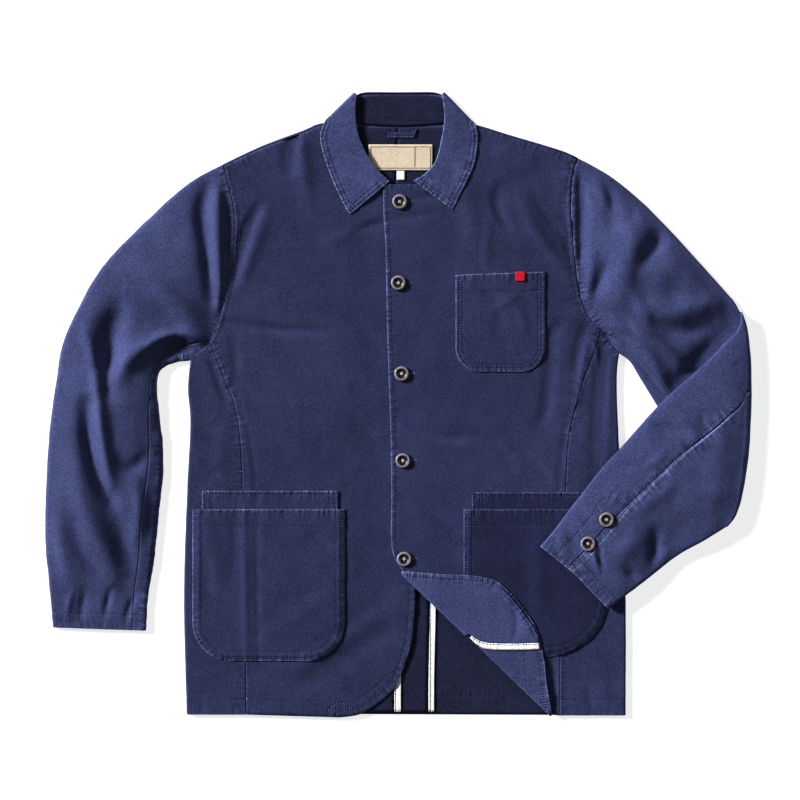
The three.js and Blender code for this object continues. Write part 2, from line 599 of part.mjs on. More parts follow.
// The stand runs inside the roll and is sewn along the neckline.
{
  const STAND = { low: 1.5, top: 7.3 };
  const { rows, place } = neckBand({
    ends: {
      right: {
        roll: [[-13, 279], [-27.3, 292.9], [-41.5, 314.2], [-51.8, 339.6], [-54.9, 364.9], [-56.4, 384]],
        outer: [[-14.4, 277.6], [-29.4, 284.2], [-43, 296], [-53, 310.5], [-59.2, 329.5], [-62.5, 353.5]],
      },
      left: {
        roll: [[21.5, 279.6], [35.3, 287.6], [48.7, 304.2], [55.9, 331.7], [59.9, 360], [59.9, 384]],
        outer: [[22.4, 278], [36.2, 283], [48.6, 293.7], [56.6, 308.6], [62.2, 329.5], [64.5, 353.5]],
      },
    },
    back: {
      roll: [[-38, 386.8], [0, 387.4], [40, 387]],
      outer: [[-36, 350.6], [0, 349], [38, 350.6]],
    },
    low: STAND.low,
    face: (p, w) => lerp(STAND.top, collarGround(p), w),
  });
  cloth('collar_stand', TWILL, rows, [0, 0.5, 1], (row, w) => [place(row, w, 0), place(row, w, CLOTH)]);
}

// ---- Hanger loop, neck label and size tab inside the back neck ----
const backTop = (p) => backLift(p) + CLOTH;
const laidStrip = (name, material, [x0, x1, y0, y1], tall = 3) => {
  const columns = [0, ...steps(0, 1, 4)];
  cloth(name, material, [0, ...steps(0, 1, tall)], columns, (s, v) => {
    const p = at([lerp(x0, x1, v), lerp(y0, y1, s)]);
    return [raised(p, backTop(p) + LAYER + 1), raised(p, backTop(p) + LAYER)];
  });
};
laidStrip('neck_label', LABEL, [-37, 43.5, 325.6, 293], 6);
laidStrip('size_tab', BINDING, [-1.6, 8.6, 292.5, 281], 2);
{
  const strap = new THREE.Shape([[-17, 346], [-13, 334], [21, 334], [27, 346], [20, 346], [16, 341.5],
    [-8, 341.5], [-10, 346]].map(at));
  const mesh = new THREE.Mesh(new THREE.ExtrudeGeometry(strap, { depth: CLOTH, bevelEnabled: false }), TWILL);
  mesh.name = 'hanger_loop';
  mesh.position.z = backTop(at([0, 340])) + LAYER;
  jacket.add(mesh);
}

// ---- Patch pockets, laid on the fronts ----
const frontTop = (p) => (p.x < -19 ? rightTop(p) : leftTop(p));

// A pocket: its sides, top and bottom, the radius of its lower corners, and how far it lies off the front.
function pocket(name, { left, right, top, bottom, corner, climb = 0 }, lift) {
  const rows = [0, ...steps(0, 1, 4)].map((share) => ({ y: lerp(top, bottom + corner, share), inset: 0 }));
  for (const angle of steps(0, Math.PI / 2, 4)) {
    rows.push({ y: bottom + corner * (1 - Math.sin(angle)), inset: corner * (1 - Math.cos(angle)) });
  }
  const rim = 7;
  const wide = right - left;
  const columns = [0, rim / wide, 0.3, 0.5, 0.7, 1 - rim / wide, 1];
  cloth(name, TWILL, rows, columns, ({ y, inset }, v) => {
    const x = lerp(left + inset, right - inset, v);
    const p = at([x, y + climb * v * smoothstep(y, bottom, top)]);
    const inside = smoothstep(Math.min(x - left - inset, right - inset - x, y - bottom), 0, rim);
    const low = frontTop(p) + LAYER + lift * inside;
    return [raised(p, low + CLOTH), raised(p, low)];
  });
}
const SECOND = CLOTH + LAYER + 0.1;
pocket('pocket_right_inner', { left: -245, right: -75, top: -108, bottom: -300, corner: 38 }, 0);
pocket('pocket_right_outer', { left: -257, right: -66.5, top: -131, bottom: -320.6, corner: 48 }, SECOND);
pocket('pocket_left_inner', { left: 92.5, right: 252, top: -110, bottom: -298, corner: 64 }, 0);
pocket('pocket_left_outer', { left: 82, right: 262.5, top: -131, bottom: -315, corner: 74 }, SECOND);
pocket('chest_pocket', { left: 72, right: 184, top: 162, bottom: 41, corner: 30, climb: 4 }, 0);
{
  const tab = (x, y, z) => new THREE.Vector3(x, y, z);
  const low = frontTop(at([153, 160])) + 2 * LAYER + CLOTH + 0.1;
  cloth('chest_tab', TAB, [166, 154], [147, 158.5], (y, x) => [tab(x, y, low + 1), tab(x, y, low)]);
}

// ---- Buttons: turned discs with a raised rim and a dished middle ----
function button(name, x, y, z) {
  const { radius, height } = BUTTON;
  const profile = [[0, 0], [radius * 0.8, 0], [radius, height * 0.35], [radius * 0.92, height],
    [radius * 0.62, height], [radius * 0.45, height * 0.6], [0, height * 0.6]];
  const mesh = new THREE.Mesh(new THREE.LatheGeometry(profile.map(at), 16), HORN);
  mesh.name = name;
  mesh.rotation.x = Math.PI / 2;
  mesh.position.set(x, y, z);
  jacket.add(mesh);
}
// columns: x, y
const FRONT_BUTTONS = [[2, 253.5], [0.3, 152], [4.4, 38.6], [6, -70], [7.6, -193]];
FRONT_BUTTONS.forEach(([x, y], i) => {
  button(`front_button_${i + 1}`, x, y, Math.max(leftTop(at([x - 8, y])), leftTop(at([x + 8, y]))) + LAYER);
});
const CUFF_BUTTONS = [[259, -143, 19.5], [236, -173, 18.7]];
CUFF_BUTTONS.forEach(([x, y, z], i) => button(`cuff_button_${i + 1}`, x, y, z + LAYER));

export default jacket;
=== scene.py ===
import bmesh
import bpy
import numpy as np
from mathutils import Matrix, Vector, noise
from mathutils.bvhtree import BVHTree


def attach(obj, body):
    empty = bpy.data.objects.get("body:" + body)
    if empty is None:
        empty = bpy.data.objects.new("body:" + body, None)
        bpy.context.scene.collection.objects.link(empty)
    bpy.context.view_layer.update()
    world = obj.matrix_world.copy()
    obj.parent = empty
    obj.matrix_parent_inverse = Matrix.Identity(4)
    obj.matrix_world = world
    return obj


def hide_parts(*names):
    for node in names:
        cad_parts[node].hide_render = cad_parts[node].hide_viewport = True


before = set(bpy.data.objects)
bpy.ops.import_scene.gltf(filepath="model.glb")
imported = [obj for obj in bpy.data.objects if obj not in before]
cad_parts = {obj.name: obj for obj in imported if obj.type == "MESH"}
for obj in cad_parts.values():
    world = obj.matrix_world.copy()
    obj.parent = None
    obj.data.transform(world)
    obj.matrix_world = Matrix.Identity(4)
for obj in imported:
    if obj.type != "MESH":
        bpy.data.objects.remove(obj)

for start_up in ("Cube", "Light", "Camera"):
    if start_up in bpy.data.objects:
        bpy.data.objects.remove(bpy.data.objects[start_up])
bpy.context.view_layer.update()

# ---- Twill and the other finishes ----
# Piece-dyed navy twill: diagonal weave, mottled dye, pale wear along edges and over puckers, painted shade in
# pucker troughs and stitch holes, and painted highlight on pucker crests.
# Each piece carries its own grain map and the distances to its edges and stitched lines, in mm.


class Value:
    """One socket of a material's tree, used as a number or a colour."""

    def __init__(self, tree, socket):
        self.tree, self.socket = tree, socket

    def node(self, kind, output=0, settings=(), **inputs):
        made = self.tree.nodes.new(kind)
        for key, value in dict(settings).items():
            setattr(made, key, value)
        for key, value in inputs.items():
            key = int(key[1:]) if key[0] == "i" and key[1:].isdigit() else key.replace("_", " ")
            if isinstance(value, Value):
                self.tree.links.new(value.socket, made.inputs[key])
            else:
                made.inputs[key].default_value = value
        return Value(self.tree, made.outputs[output])

    def maths(self, operation, *others):
        inputs = {f"i{k}": value for k, value in enumerate((self, *others))}
        return self.node("ShaderNodeMath", settings={"operation": operation}, **inputs)

    def __add__(self, other):
        return self.maths("ADD", other)

    def __sub__(self, other):
        return self.maths("SUBTRACT", other)

    def __mul__(self, other):
        return self.maths("MULTIPLY", other)

    def __truediv__(self, other):
        return self.maths("DIVIDE", other)

    def __rsub__(self, other):
        return self * -1 + other

    __radd__, __rmul__ = __add__, __mul__

    def bell(self, width):
        """1 where this is 0, falling to 0 over the width."""
        scaled = self / width
        return (scaled * scaled * -1).maths("EXPONENT")

    def ramp(self, low, high):
        """0 below low, 1 above high."""
        return self.node("ShaderNodeMapRange", settings={"interpolation_type": "SMOOTHSTEP"},
                         Value=self, From_Min=low, From_Max=high)

    def mix(self, a, b):
        """From colour a to colour b as this goes from 0 to 1."""
        return self.node("ShaderNodeMix", 2, {"data_type": "RGBA"}, i0=self, i6=a, i7=b)


def material(name):
    """A new material, and a value to start its expressions from."""
    made = bpy.data.materials.new(name)
    made.use_nodes = True
    return made, Value(made.node_tree, None)


def surface(made, settings, **values):
    """Gives the material's shader its numbers, and its values by socket."""
    shader = made.node_tree.nodes["Principled BSDF"]
    for word, number in settings.items():
        shader.inputs[word].default_value = number
    for word, value in values.items():
        made.node_tree.links.new(value.socket, shader.inputs[word.replace("_", " ")])
    return made


def linear(red, green, blue):
    """A colour from its everyday 0-255 values."""
    srgb = np.array([red, green, blue]) / 255
    return (*np.where(srgb <= 0.04045, srgb / 12.92, ((srgb + 0.055) / 1.055) ** 2.4), 1)


def noise_at(where, scale, detail=3.0, distortion=0.0):
    return where.node("ShaderNodeTexNoise", Vector=where, Scale=scale, Detail=detail, Distortion=distortion)


def on_object(start):
    return start.node("ShaderNodeTexCoord", 3)


def attribute(start, word):
    return start.node("ShaderNodeAttribute", 2, {"attribute_name": word})


# What a mesh tells its cloth: distance to the nearest edge or seam, how far along it, how strongly it gathers
# and is worn there, distance to the stitched rows, and how high a ripple stands.  FAR is well away from all.
WORDS = ("rim", "along", "gather", "worn", "row_a", "row_b", "crest")
FAR = 99.0
# Radians per mm of seam: a stitch every 3.4 mm, and where the first one starts.
DASHES, FIRST_DASH = 1.85, 2.4
# How wide the wear along a rim and the mark of a stitched row are, in mm.
RIM_WIDTH, ROW_WIDTH = 1.1, 0.85
TWILL = {"Roughness": 0.86, "Sheen Weight": 0.06, "Sheen Roughness": 0.5, "Specular IOR Level": 0.2}


def twill(name, dark, mid, pale, wear=1.0):
    """Woven cotton, from its dark threads to its pale worn ones; wear is how far it rubs pale."""
    made, start = material(name)
    place = on_object(start)
    grain = start.node("ShaderNodeUVMap", settings={"uv_map": "grain"})
    rim, along, gather, worn, row_a, row_b, crest = (attribute(start, word) for word in WORDS)
    weave = start.node(
        "ShaderNodeTexWave", settings={"wave_type": "BANDS", "bands_direction": "DIAGONAL"},
        Vector=grain, Scale=0.42, Distortion=1.2, Detail=2.0, Detail_Scale=3.0,
    )
    broad, blotch = noise_at(place, 7.0), noise_at(place, 45.0, 4.0)
    slub, fine = noise_at(place, 420.0, 2.0), noise_at(place, 1300.0, 1.0)
    across_seam = start.node("ShaderNodeCombineXYZ", X=along * 0.17, Y=rim * 0.035)
    ripple = noise_at(across_seam, 1.0, 2.0) - 0.5
    dash = (along * DASHES + FIRST_DASH).maths("SINE") * 0.5 + 0.5
    row = row_a.bell(ROW_WIDTH) + row_b.bell(ROW_WIDTH)
    groove, thread = row * dash, row * (1.0 - dash)
    rubbed = worn * rim.bell(RIM_WIDTH) * (blotch * 0.8 + slub * 0.9).ramp(0.5, 1.15)
    raised = (ripple * gather * 9.0).ramp(0.05, 0.9) * 0.55 + crest.ramp(0.1, 1.0) * 0.2
    shade = 0.5 + (broad - 0.5) * 0.6 + (blotch - 0.5) * 0.5 + (slub - 0.5) * 1.1 + (fine - 0.5) * 1.6
    # Painted shade in the pucker troughs and painted highlight on their crests, darker and lighter with the
    # ripple.
    shade = shade + ripple * gather * 3.0
    # Darker at each stitched row's holes: painted shade where the thread sinks into the cloth.
    colour = (shade + (weave - 0.5) * 0.14 - groove * 0.9).ramp(-0.15, 1.15).mix(dark, mid)
    fade = (rubbed + thread * 0.3 + raised * (0.25 + slub * 0.8)) * wear
    relief = weave * 0.1 + slub * 0.3 + fine * 0.2 + blotch * 0.5 - groove * 1.6 + ripple * gather * 24.0
    bump = start.node("ShaderNodeBump", Height=relief, Strength=0.8, Distance=0.0006)
    return surface(made, TWILL, Base_Color=fade.maths("MINIMUM", 1.0).mix(colour, pale), Normal=bump,
                   Roughness=0.8 + blotch * 0.14)


# columns: name: dark, middle and pale colour, wear
CLOTHS = {
    "navy_twill": ((43, 48, 76), (75, 81, 119), (122, 130, 170), 1.0),
    # A paler copy of the twill for the collar fall and the turned-up corner's facing: painted light on cloth
    # that lies higher.
    "navy_twill_painted_light": ((57, 62, 97), (99, 107, 151), (142, 152, 190), 1.0),
    # A paler copy for the sleeves and the turned-up corner's faces: painted light on cloth that lies higher.
    "navy_twill_sleeve_painted_light": ((51, 56, 89), (91, 99, 140), (136, 146, 184), 1.0),
    # A darker copy for the wearer's left pockets: painted shade from the forearm.
    "navy_twill_painted_shade": ((32, 36, 60), (58, 62, 98), (104, 110, 150), 1.0),
    # The inner face of the twill, darker in part as painted shade in the neck under the collar and between
    # the fronts.
    "navy_twill_inside_shaded": ((29, 31, 50), (56, 60, 93), (88, 94, 124), 0.4),
    "navy_thread": ((58, 66, 102), (108, 122, 166), (130, 142, 182), 0.0),
    "blue_thread": ((90, 104, 140), (136, 152, 196), (150, 162, 200), 0.0),
    "white_binding": ((226, 227, 222), (250, 250, 247), (252, 252, 250), 0.3),
    "label_cotton": ((204, 190, 166), (230, 218, 200), (234, 224, 206), 0.3),
    "brown_thread": ((44, 36, 32), (78, 64, 54), (88, 74, 64), 0.0),
    "red_tab": ((176, 34, 46), (224, 52, 64), (230, 80, 90), 0.2),
    "pale_thread": ((190, 190, 206), (230, 230, 240), (236, 236, 244), 0.0),
}
COTTON = {name: twill(name, *(linear(*colour) for colour in colours), wear)
          for name, (*colours, wear) in CLOTHS.items()}

# ---- Cutting lines ----
# The jacket's outlines in mm: +X to the wearer's left, +Y to the collar, +Z up from the table.
# A line is a function of the share of its length; a panel is spanned between its four edges.

# Cloth thickness, half the gap at a seam, the gap between layers, and the radius of a rolled edge.
CLOTH, SEAM, LAYER, ROLL = 1.1, 0.2, 0.35, 3.0
TOP = 2 * ROLL
# Where the side seam leaves the armhole, and the share of a panel's rows that lie along the armhole.
SEAM_SHARE, ARM_ROWS = 0.88, 0.36


def lerp(a, b, share):
    return a + (b - a) * share


def smoothstep(x, low, high):
    share = np.clip((x - low) / (high - low), 0, 1)
    return share * share * (3 - 2 * share)


def through(points):
    """A smooth line through the points."""
    points = np.array(points, float)
    padded = np.vstack([points[:1], points, points[-1:]])
    place = np.linspace(0, len(points) - 1, 60 * (len(points) - 1) + 1)
    first = np.minimum(place.astype(int), len(points) - 2)
    t = (place - first)[:, None]
    p0, p1, p2, p3 = (padded[first + k] for k in range(4))
    curve = 0.5 * (2 * p1 + (p2 - p0) * t + (2 * p0 - 5 * p1 + 4 * p2 - p3) * t**2
                   + (3 * p1 - p0 - 3 * p2 + p3) * t**3)
    length = np.r_[0, np.cumsum(np.linalg.norm(np.diff(curve, axis=0), axis=1))]
    length /= length[-1]
    return lambda share: np.stack([np.interp(share, length, curve[:, k]) for k in range(2)], -1)


def straight(a, b):
    a, b = np.array(a, float), np.array(b, float)
    return lambda share: a + (b - a) * np.asarray(share, float)[..., None]


def joined(first, share, second):
    """One line, then another from the given share on."""
    def line(t):
        t = np.asarray(t)
        return np.where((t <= share)[..., None], first(t / share), second((t - share) / (1 - share)))
    return line


def panel(start, end, near, far, fade=1):
    """s runs from start to end, v from near to far; a larger fade loses the start edge's shape sooner."""
    def plan(s, v):
        s, v = np.broadcast_arrays(np.asarray(s, float), np.asarray(v, float))
        down = (1 - (1 - s) ** fade)[..., None]
        across = lerp(start(v), end(v), down)
        along = lerp(near(s), far(s), v[..., None])
        corners = lerp(lerp(start(0), start(1), v[..., None]), lerp(end(0), end(1), v[..., None]), down)
        return across + along - corners
    return plan


def raised(p, z):
    return np.concatenate([p, np.broadcast_to(z, p.shape[:-1])[..., None]], -1)


def shares(length, step=3.0, edge=1.6, band=9.0):
    """Shares of a length in mm, closer together near both ends."""
    fine = np.arange(0, band, edge)
    middle = np.linspace(band, length - band, max(2, int((length - 2 * band) / step) + 1))
    if length < 3 * band:
        return np.linspace(0, 1, max(3, int(length / edge)))
    return np.r_[fine, middle, length - fine[::-1]] / length


NECK = {"left": [68, 351.6], "right": [-66, 352]}
EDGES = {
    "left": {
        "shoulder": [NECK["left"], [98, 350], [135, 339], [202, 319], [225, 309]],
        "armhole": [[225, 309], [217, 271], [219, 208], [230, 131], [251, 95], [277, 64]],
        "seam": [[233, 31], [221, -10], [213, -50], [209, -130], [204, -250], [202, -389]],
        "side": [[277, 64], [274, 36], [275, -13], [280, -120], [285, -238], [285, -389]],
    },
    "right": {
        "shoulder": [NECK["right"], [-97, 352], [-119, 343], [-170, 324], [-219, 301]],
        "armhole": [[-219, 301], [-205, 240], [-207, 180], [-215, 138], [-232, 84], [-260, 55]],
        "seam": [[-217, 32], [-204, -2], [-197, -50], [-194, -130], [-191, -250], [-190, -388]],
        "side": [[-260, 55], [-263, 20], [-260, -25], [-264, -107], [-268, -240], [-264.5, -388]],
    },
}


class Side:
    """One hand's body edges."""

    def __init__(self, rows):
        self.armhole = through(rows["armhole"])
        self.wrap = ROLL / np.linalg.norm(self.armhole(1) - self.armhole(0))
        self.seam = through([self.armhole(self.flat(SEAM_SHARE)), *rows["seam"]])
        self.outline, self.side = through(rows["shoulder"]), through(rows["side"])
        down = self.armhole(self.wrap) - self.armhole(0)
        self.down = down / np.linalg.norm(down)

    def flat(self, share):
        return self.wrap + (1 - 2 * self.wrap) * share

    def shoulder(self, inset):
        return lambda share: self.outline(share) + self.down * np.asarray(inset)[..., None]

    def outer(self, s):
        """The armhole, then the seam below it."""
        s = np.asarray(s, float)
        arm = self.armhole(self.flat(np.minimum(s / ARM_ROWS, 1) * SEAM_SHARE))
        return np.where((s > ARM_ROWS)[..., None], self.seam((s - ARM_ROWS) / (1 - ARM_ROWS)), arm)


BODY = {hand: Side(rows) for hand, rows in EDGES.items()}

# ---- Relief ----
# Broad swells and laid folds.  Each fold is bowed through three points, with a half width and a height,
# negative for a trough.  Fine creasing comes from noise that fades in along the seams.
# columns: x, y, reach x, reach y, height
SWELLS = [
    (-135, 170, 60, 80, 3.2), (128, 180, 55, 70, 2.6), (-110, -20, 70, 60, 2.4), (90, 20, 60, 60, 1.8),
    (-30, 120, 50, 90, 1.2), (-352, 150, 30, 24, 1.5), (306, 170, 34, 30, 2), (-416, -60, 14, 90, 1.5),
]
# columns: x, y, middle x, middle y, end x, end y, half width, height
RIGHT_ARM_FOLDS = [
    (-236, 292, -248, 250, -244, 214, 8, -3.6), (-243, 230, -240, 185, -232, 132, 8, -3.0),
    (-223, 292, -228, 230, -221, 122, 10, 3.6), (-211, 284, -209, 222, -213, 158, 6, -1.0),
    (-332, 168, -286, 146, -250, 94, 14, 2.8), (-310, 128, -286, 112, -262, 92, 14, -1.6),
    (-350, 120, -362, 84, -362, 24, 15, -6.0), (-352, 30, -336, 68, -292, 80, 12, 3.8),
    (-356, 96, -330, 110, -300, 84, 18, -2.6),
    (-394, 96, -378, 78, -374, 20, 9, 2.6), (-374, 34, -372, -30, -358, -98, 8, 3.6),
    (-388, 0, -392, -74, -360, -118, 10, -5.4), (-366, -108, -344, -150, -338, -212, 15, -3.2),
    (-404, -84, -388, -150, -350, -206, 13, 2.4), (-404, -150, -396, -196, -366, -214, 10, -1.8),
    (-346, -72, -330, -88, -314, -62, 9, -2.0), (-326, -98, -318, -136, -328, -168, 9, 2.2),
    (-352, -228, -332, -240, -314, -252, 8, -1.8), (-300, 60, -276, 76, -258, 62, 10, -5.0),
    (-308, 76, -278, 98, -246, 80, 6, 3.2), (-430, -130, -424, -180, -404, -236, 12, 1.4),
    (-366, -262, -364, -248, -360, -234, 4, -1.2), (-398, -270, -394, -252, -392, -232, 5, -1.0),
    (-340, -270, -338, -254, -330, -240, 4, -1.2), (-414, -268, -412, -250, -408, -236, 4, 1.0),
]
LEFT_ARM_FOLDS = [
    (225, 298, 236, 250, 226, 178, 6, -3.6), (230, 306, 252, 286, 268, 236, 7, 3.4),
    (258, 284, 268, 258, 267, 226, 8, -3.4), (302, 262, 302, 210, 270, 130, 18, 3.4),
    (244, 190, 240, 160, 238, 134, 6, 1.8), (262, 178, 256, 160, 246, 140, 6, -1.8),
    (296, 256, 290, 240, 300, 220, 8, -1.6), (344, 220, 322, 204, 300, 174, 11, -2.6),
    (352, 158, 334, 136, 362, 122, 14, -1.6), (418, 94, 384, 56, 348, 26, 13, -4.4),
    (272, 100, 318, 88, 352, 52, 8, 3.2), (296, 80, 326, 50, 332, 14, 11, 3.0),
    (306, 120, 352, 104, 404, 134, 13, 3.4), (286, 144, 308, 122, 314, 96, 8, 1.2),
    (262, 124, 284, 110, 292, 92, 6, -1.2), (320, 104, 350, 82, 392, 96, 9, -2.4),
    (281, 72, 302, 48, 334, 10, 3.5, -2.4), (252, 94, 264, 80, 282, 66, 5, -2.0),
    (312, 180, 350, 150, 392, 130, 26, 3.0),
]
FOREARM_FOLDS = [
    (316, -22, 336, -34, 356, -32, 7, -1.8), (352, -20, 366, -30, 374, -46, 6, 1.8),
    (376, -12, 382, -24, 384, -36, 5, -1.4), (396, -44, 420, -60, 432, -70, 8, 1.2),
    (322, -160, 318, -184, 322, -204, 8, -3.2), (298, -160, 286, -190, 262, -186, 14, 2.0),
    (330, -196, 336, -192, 342, -184, 6, 1.6), (304, -222, 294, -214, 286, -206, 6, -2.2),
    (250, -180, 250, -190, 254, -200, 4, -1.8), (243, -184, 246, -194, 250, -206, 3, 1.4),
    (196, -160, 206, -172, 210, -184, 6, 1.2), (300, -130, 316, -120, 340, -100, 9, 1.2),
    (210, -162, 218, -170, 226, -178, 5, -1.2), (330, -62, 322, -72, 306, -78, 6, 1.2),
    (352, -98, 372, -120, 404, -116, 18, 1.4),
]
BODY_FOLDS = [
    (-174, 246, -194, 216, -204, 156, 7, -3.4), (-166, 240, -178, 196, -200, 150, 9, 1.8),
    (-128, 340, -138, 318, -136, 296, 8, -3.4), (-184, 292, -140, 262, -98, 210, 17, -2.2),
    (-120, 342, -122, 306, -112, 262, 9, 1.8), (-216, 103, -160, 92, -86, 92, 6, -1.8),
    (-96, 94, -62, 90, -36, 66, 9, 0.9), (-80, 118, -40, 110, -24, 66, 11, -1.0),
    (-58, 214, -36, 226, -20, 226, 6, -1.6), (-90, 204, -56, 208, -28, 238, 8, 1.1),
    (-208, 84, -202, 60, -203, 30, 6, -1.0), (-234, 54, -226, 30, -216, 4, 4, -1.8),
    (-142, 62, -110, 34, -78, 8, 12, -0.8), (-62, -8, -40, -36, -18, -62, 12, -0.8),
    (-124, -352, -84, -332, -14, -282, 11, -1.8), (-104, -304, -62, -292, -18, -236, 12, -1.0),
    (-140, -330, -90, -312, -30, -262, 10, 1.0), (-246, 20, -250, -40, -240, -90, 10, -1.0),
    (-228, -86, -246, -92, -258, -96, 7, -1.4), (-214, -20, -226, -56, -222, -86, 8, 0.8),
    (100, 342, 110, 326, 126, 322, 6, -2.0), (127, 270, 116, 250, 138, 222, 6, -2.2),
    (136, 270, 164, 278, 196, 296, 14, -2.2), (180, 304, 190, 272, 198, 240, 8, -2.8),
    (172, 268, 186, 246, 208, 212, 8, -3.2), (207, 262, 204, 225, 216, 182, 4, -2.2),
    (156, 246, 176, 204, 216, 160, 9, 2.6), (80, 296, 88, 250, 96, 196, 12, 1.4),
    (114, 230, 112, 204, 110, 178, 7, 1.0), (-8, 233, 15, 234, 42, 238, 5, -0.9),
    (20, 258, 34, 260, 52, 262, 5, -1.2), (202, 142, 218, 130, 232, 128, 3, 0.8),
    (206, 132, 216, 124, 230, 120, 3, -0.8), (238, 104, 226, 82, 222, 44, 6, -2.0),
    (194, 92, 190, 40, 184, -20, 7, -1.8), (206, 104, 196, 92, 188, 84, 6, -1.0),
    (262, 82, 250, 20, 249, -100, 8, -3.4), (242, 88, 250, 70, 252, 40, 3, 1.0),
    (268, 62, 264, 20, 264, -60, 6, 1.4), (236, 78, 228, 30, 224, 0, 4, 1.0),
    (2, -10, 32, -42, 76, -44, 7, -1.3), (66, -42, 120, -30, 142, -78, 8, -1.3),
    (146, -54, 172, -70, 188, -94, 6, -1.2), (-4, -112, 40, -124, 66, -156, 9, -0.8),
    (8, -28, 50, -58, 96, -54, 9, 0.8), (176, -22, 184, -10, 190, 6, 6, -1.0),
    (236, -350, 240, -366, 244, -384, 5, -1.4), (256, -346, 262, -366, 262, -386, 5, 1.2),
    (208, -340, 226, -350, 256, -346, 6, -1.0), (-246, -366, -244, -376, -244, -386, 4, -0.8),
    (-166, -330, -150, -344, -120, -350, 7, -0.9),
    (-204, 24, -180, -40, -178, -120, 3, -0.6), (-197, 20, -186, -40, -184, -120, 4, 0.4),
    (-192, -118, -191, -230, -189, -330, 4, 0.9), (-177, -110, -176, -230, -174, -330, 4, -0.7),
    (-206, -140, -202, -170, -208, -220, 6, -0.7), (-238, -140, -232, -190, -226, -230, 10, 0.8),
    (-236, -180, -240, -220, -236, -270, 8, -0.7), (-150, -250, -130, -240, -100, -236, 14, -0.8),
    (-160, -290, -120, -262, -84, -236, 10, 0.6), (-110, -150, -104, -170, -84, -176, 8, -0.7),
    (214, -6, 206, -50, 200, -120, 4, -0.6), (187, -300, 188, -350, 188, -392, 4, 0.7),
    (202, -300, 202, -350, 202, -392, 4, 0.7), (110, 140, 130, 120, 128, 96, 8, -0.9),
    (140, 130, 160, 110, 158, 90, 6, 1.0), (120, 120, 138, 128, 150, 138, 6, 0.7),
    (128, -232, 157, -258, 172, -300, 3, 0.5), (145, -250, 153, -275, 143, -295, 4, -0.8),
    (180, -160, 172, -200, 180, -250, 10, 0.8), (160, -200, 150, -230, 170, -280, 10, -0.8),
]


# How much deeper the folds are than their tables say, on the body and on the sleeves.
DEPTH, SLEEVE_DEPTH = 1.45, 1.4
# The depth that no trough passes, and the straight lengths that a fold's bow is measured against.
BODY_FLOOR, SLEEVE_FLOOR = 1.9, 3.4
BOW_PARTS = 8


def nearest_on(x, y, points):
    """Over a place, each length of a line: the share along it, how far it is, and its side."""
    for (ax, ay), (bx, by) in zip(points[:-1], points[1:]):
        dx, dy = bx - ax, by - ay
        length = max(np.hypot(dx, dy), 1e-6)
        share = np.clip(((x - ax) * dx + (y - ay) * dy) / length**2, 0, 1)
        side = dx * (y - ay) - dy * (x - ax)
        yield share, length, np.hypot(x - ax - share * dx, y - ay - share * dy), side


def bowed(x, y, folds):
    """The height of the folds over a place; each dies away toward its ends."""
    total = np.zeros(np.shape(x))
    turns = np.linspace(0, 1, BOW_PARTS + 1)
    for x0, y0, x1, y1, x2, y2, width, height in folds:
        nearest, level = np.full(np.shape(x), np.inf), np.zeros(np.shape(x))
        bow = [lerp(lerp(a, b, turns), lerp(b, c, turns), turns) for a, b, c in ((x0, x1, x2), (y0, y1, y2))]
        for k, (share, _, distance, _) in enumerate(nearest_on(x, y, np.transpose(bow))):
            ease = height * np.sin(np.pi * lerp(0.1, 0.9, (k + share) / BOW_PARTS)) ** 0.7
            level = np.where(distance < nearest, ease, level)
            nearest = np.minimum(nearest, distance)
        total += level * np.exp(-((nearest / width) ** 2))
    return total * DEPTH


def settled(height, floor):
    """Troughs ease out before they reach the floor, a depth below the flat cloth."""
    return np.where(height < 0, -floor * np.tanh(-height / floor), height)


def mound(x, y, middle_x, middle_y, reach_x, reach_y):
    return np.exp(-(((x - middle_x) / reach_x) ** 2) - ((y - middle_y) / reach_y) ** 2)


def body_rise(p):
    x, y = p[..., 0], p[..., 1]
    swell = sum(height * mound(x, y, *where) for *where, height in SWELLS)
    return settled(swell + bowed(x, y, BODY_FOLDS), BODY_FLOOR)


def right_top(p):
    return TOP + body_rise(p) - 0.5 * smoothstep(p[..., 0], -70, -30)


def left_top(p):
    return TOP + body_rise(p) + 1.1 * (1 - smoothstep(p[..., 0], 26, 74))


def fractal(points, size, seed=0.0, octaves=3):
    """Soft noise over an array of points, its largest waves about `size` mm."""
    shape = points.shape[:-1]
    flat = np.concatenate([points, np.zeros((*shape, 3 - points.shape[-1]))], -1).reshape(-1, 3) / size + seed
    return np.array([noise.fractal(Vector(p), 1.0, 2.0, octaves) for p in flat]).reshape(shape)


# ---- Making up a piece ----
# A piece is a grid laid out by its maker, pushed out by its creases and puckers, given its thickness, and
# topstitched: every stitch is dropped on the finished surface from above.

# A row's pitch and the share of it that shows as thread; a stitch's radius, how thin it is at its far end,
# and how high its middle lies over the surface, as shares of that radius.
PITCH, SHOWN = 3.4, 2.5 / 3.4
THREAD_RADIUS, TAPER, LIFTED = 0.28, 0.7, 0.4
# Metres over the table, higher than any piece.
ABOVE_ALL = 0.2
SURFACES = {}


def to_line(x, y, line):
    """Distance from places to a line, signed by its side, and how far along it they are."""
    best, along, travelled = np.full(np.shape(x), 1e9), np.zeros(np.shape(x)), 0.0
    sign = np.ones(np.shape(x))
    for share, length, distance, side in nearest_on(x, y, line):
        closer = distance < best
        best = np.where(closer, distance, best)
        sign = np.where(closer, np.sign(side), sign)
        along = np.where(closer, travelled + share * length, along)
        travelled += length
    return best * sign, along


def sampled(line, step=7.0):
    """A line as points about a step apart."""
    rough = line(np.linspace(0, 1, 40))
    length = np.linalg.norm(np.diff(rough, axis=0), axis=1).sum()
    return line(np.linspace(0, 1, max(3, int(length / step))))


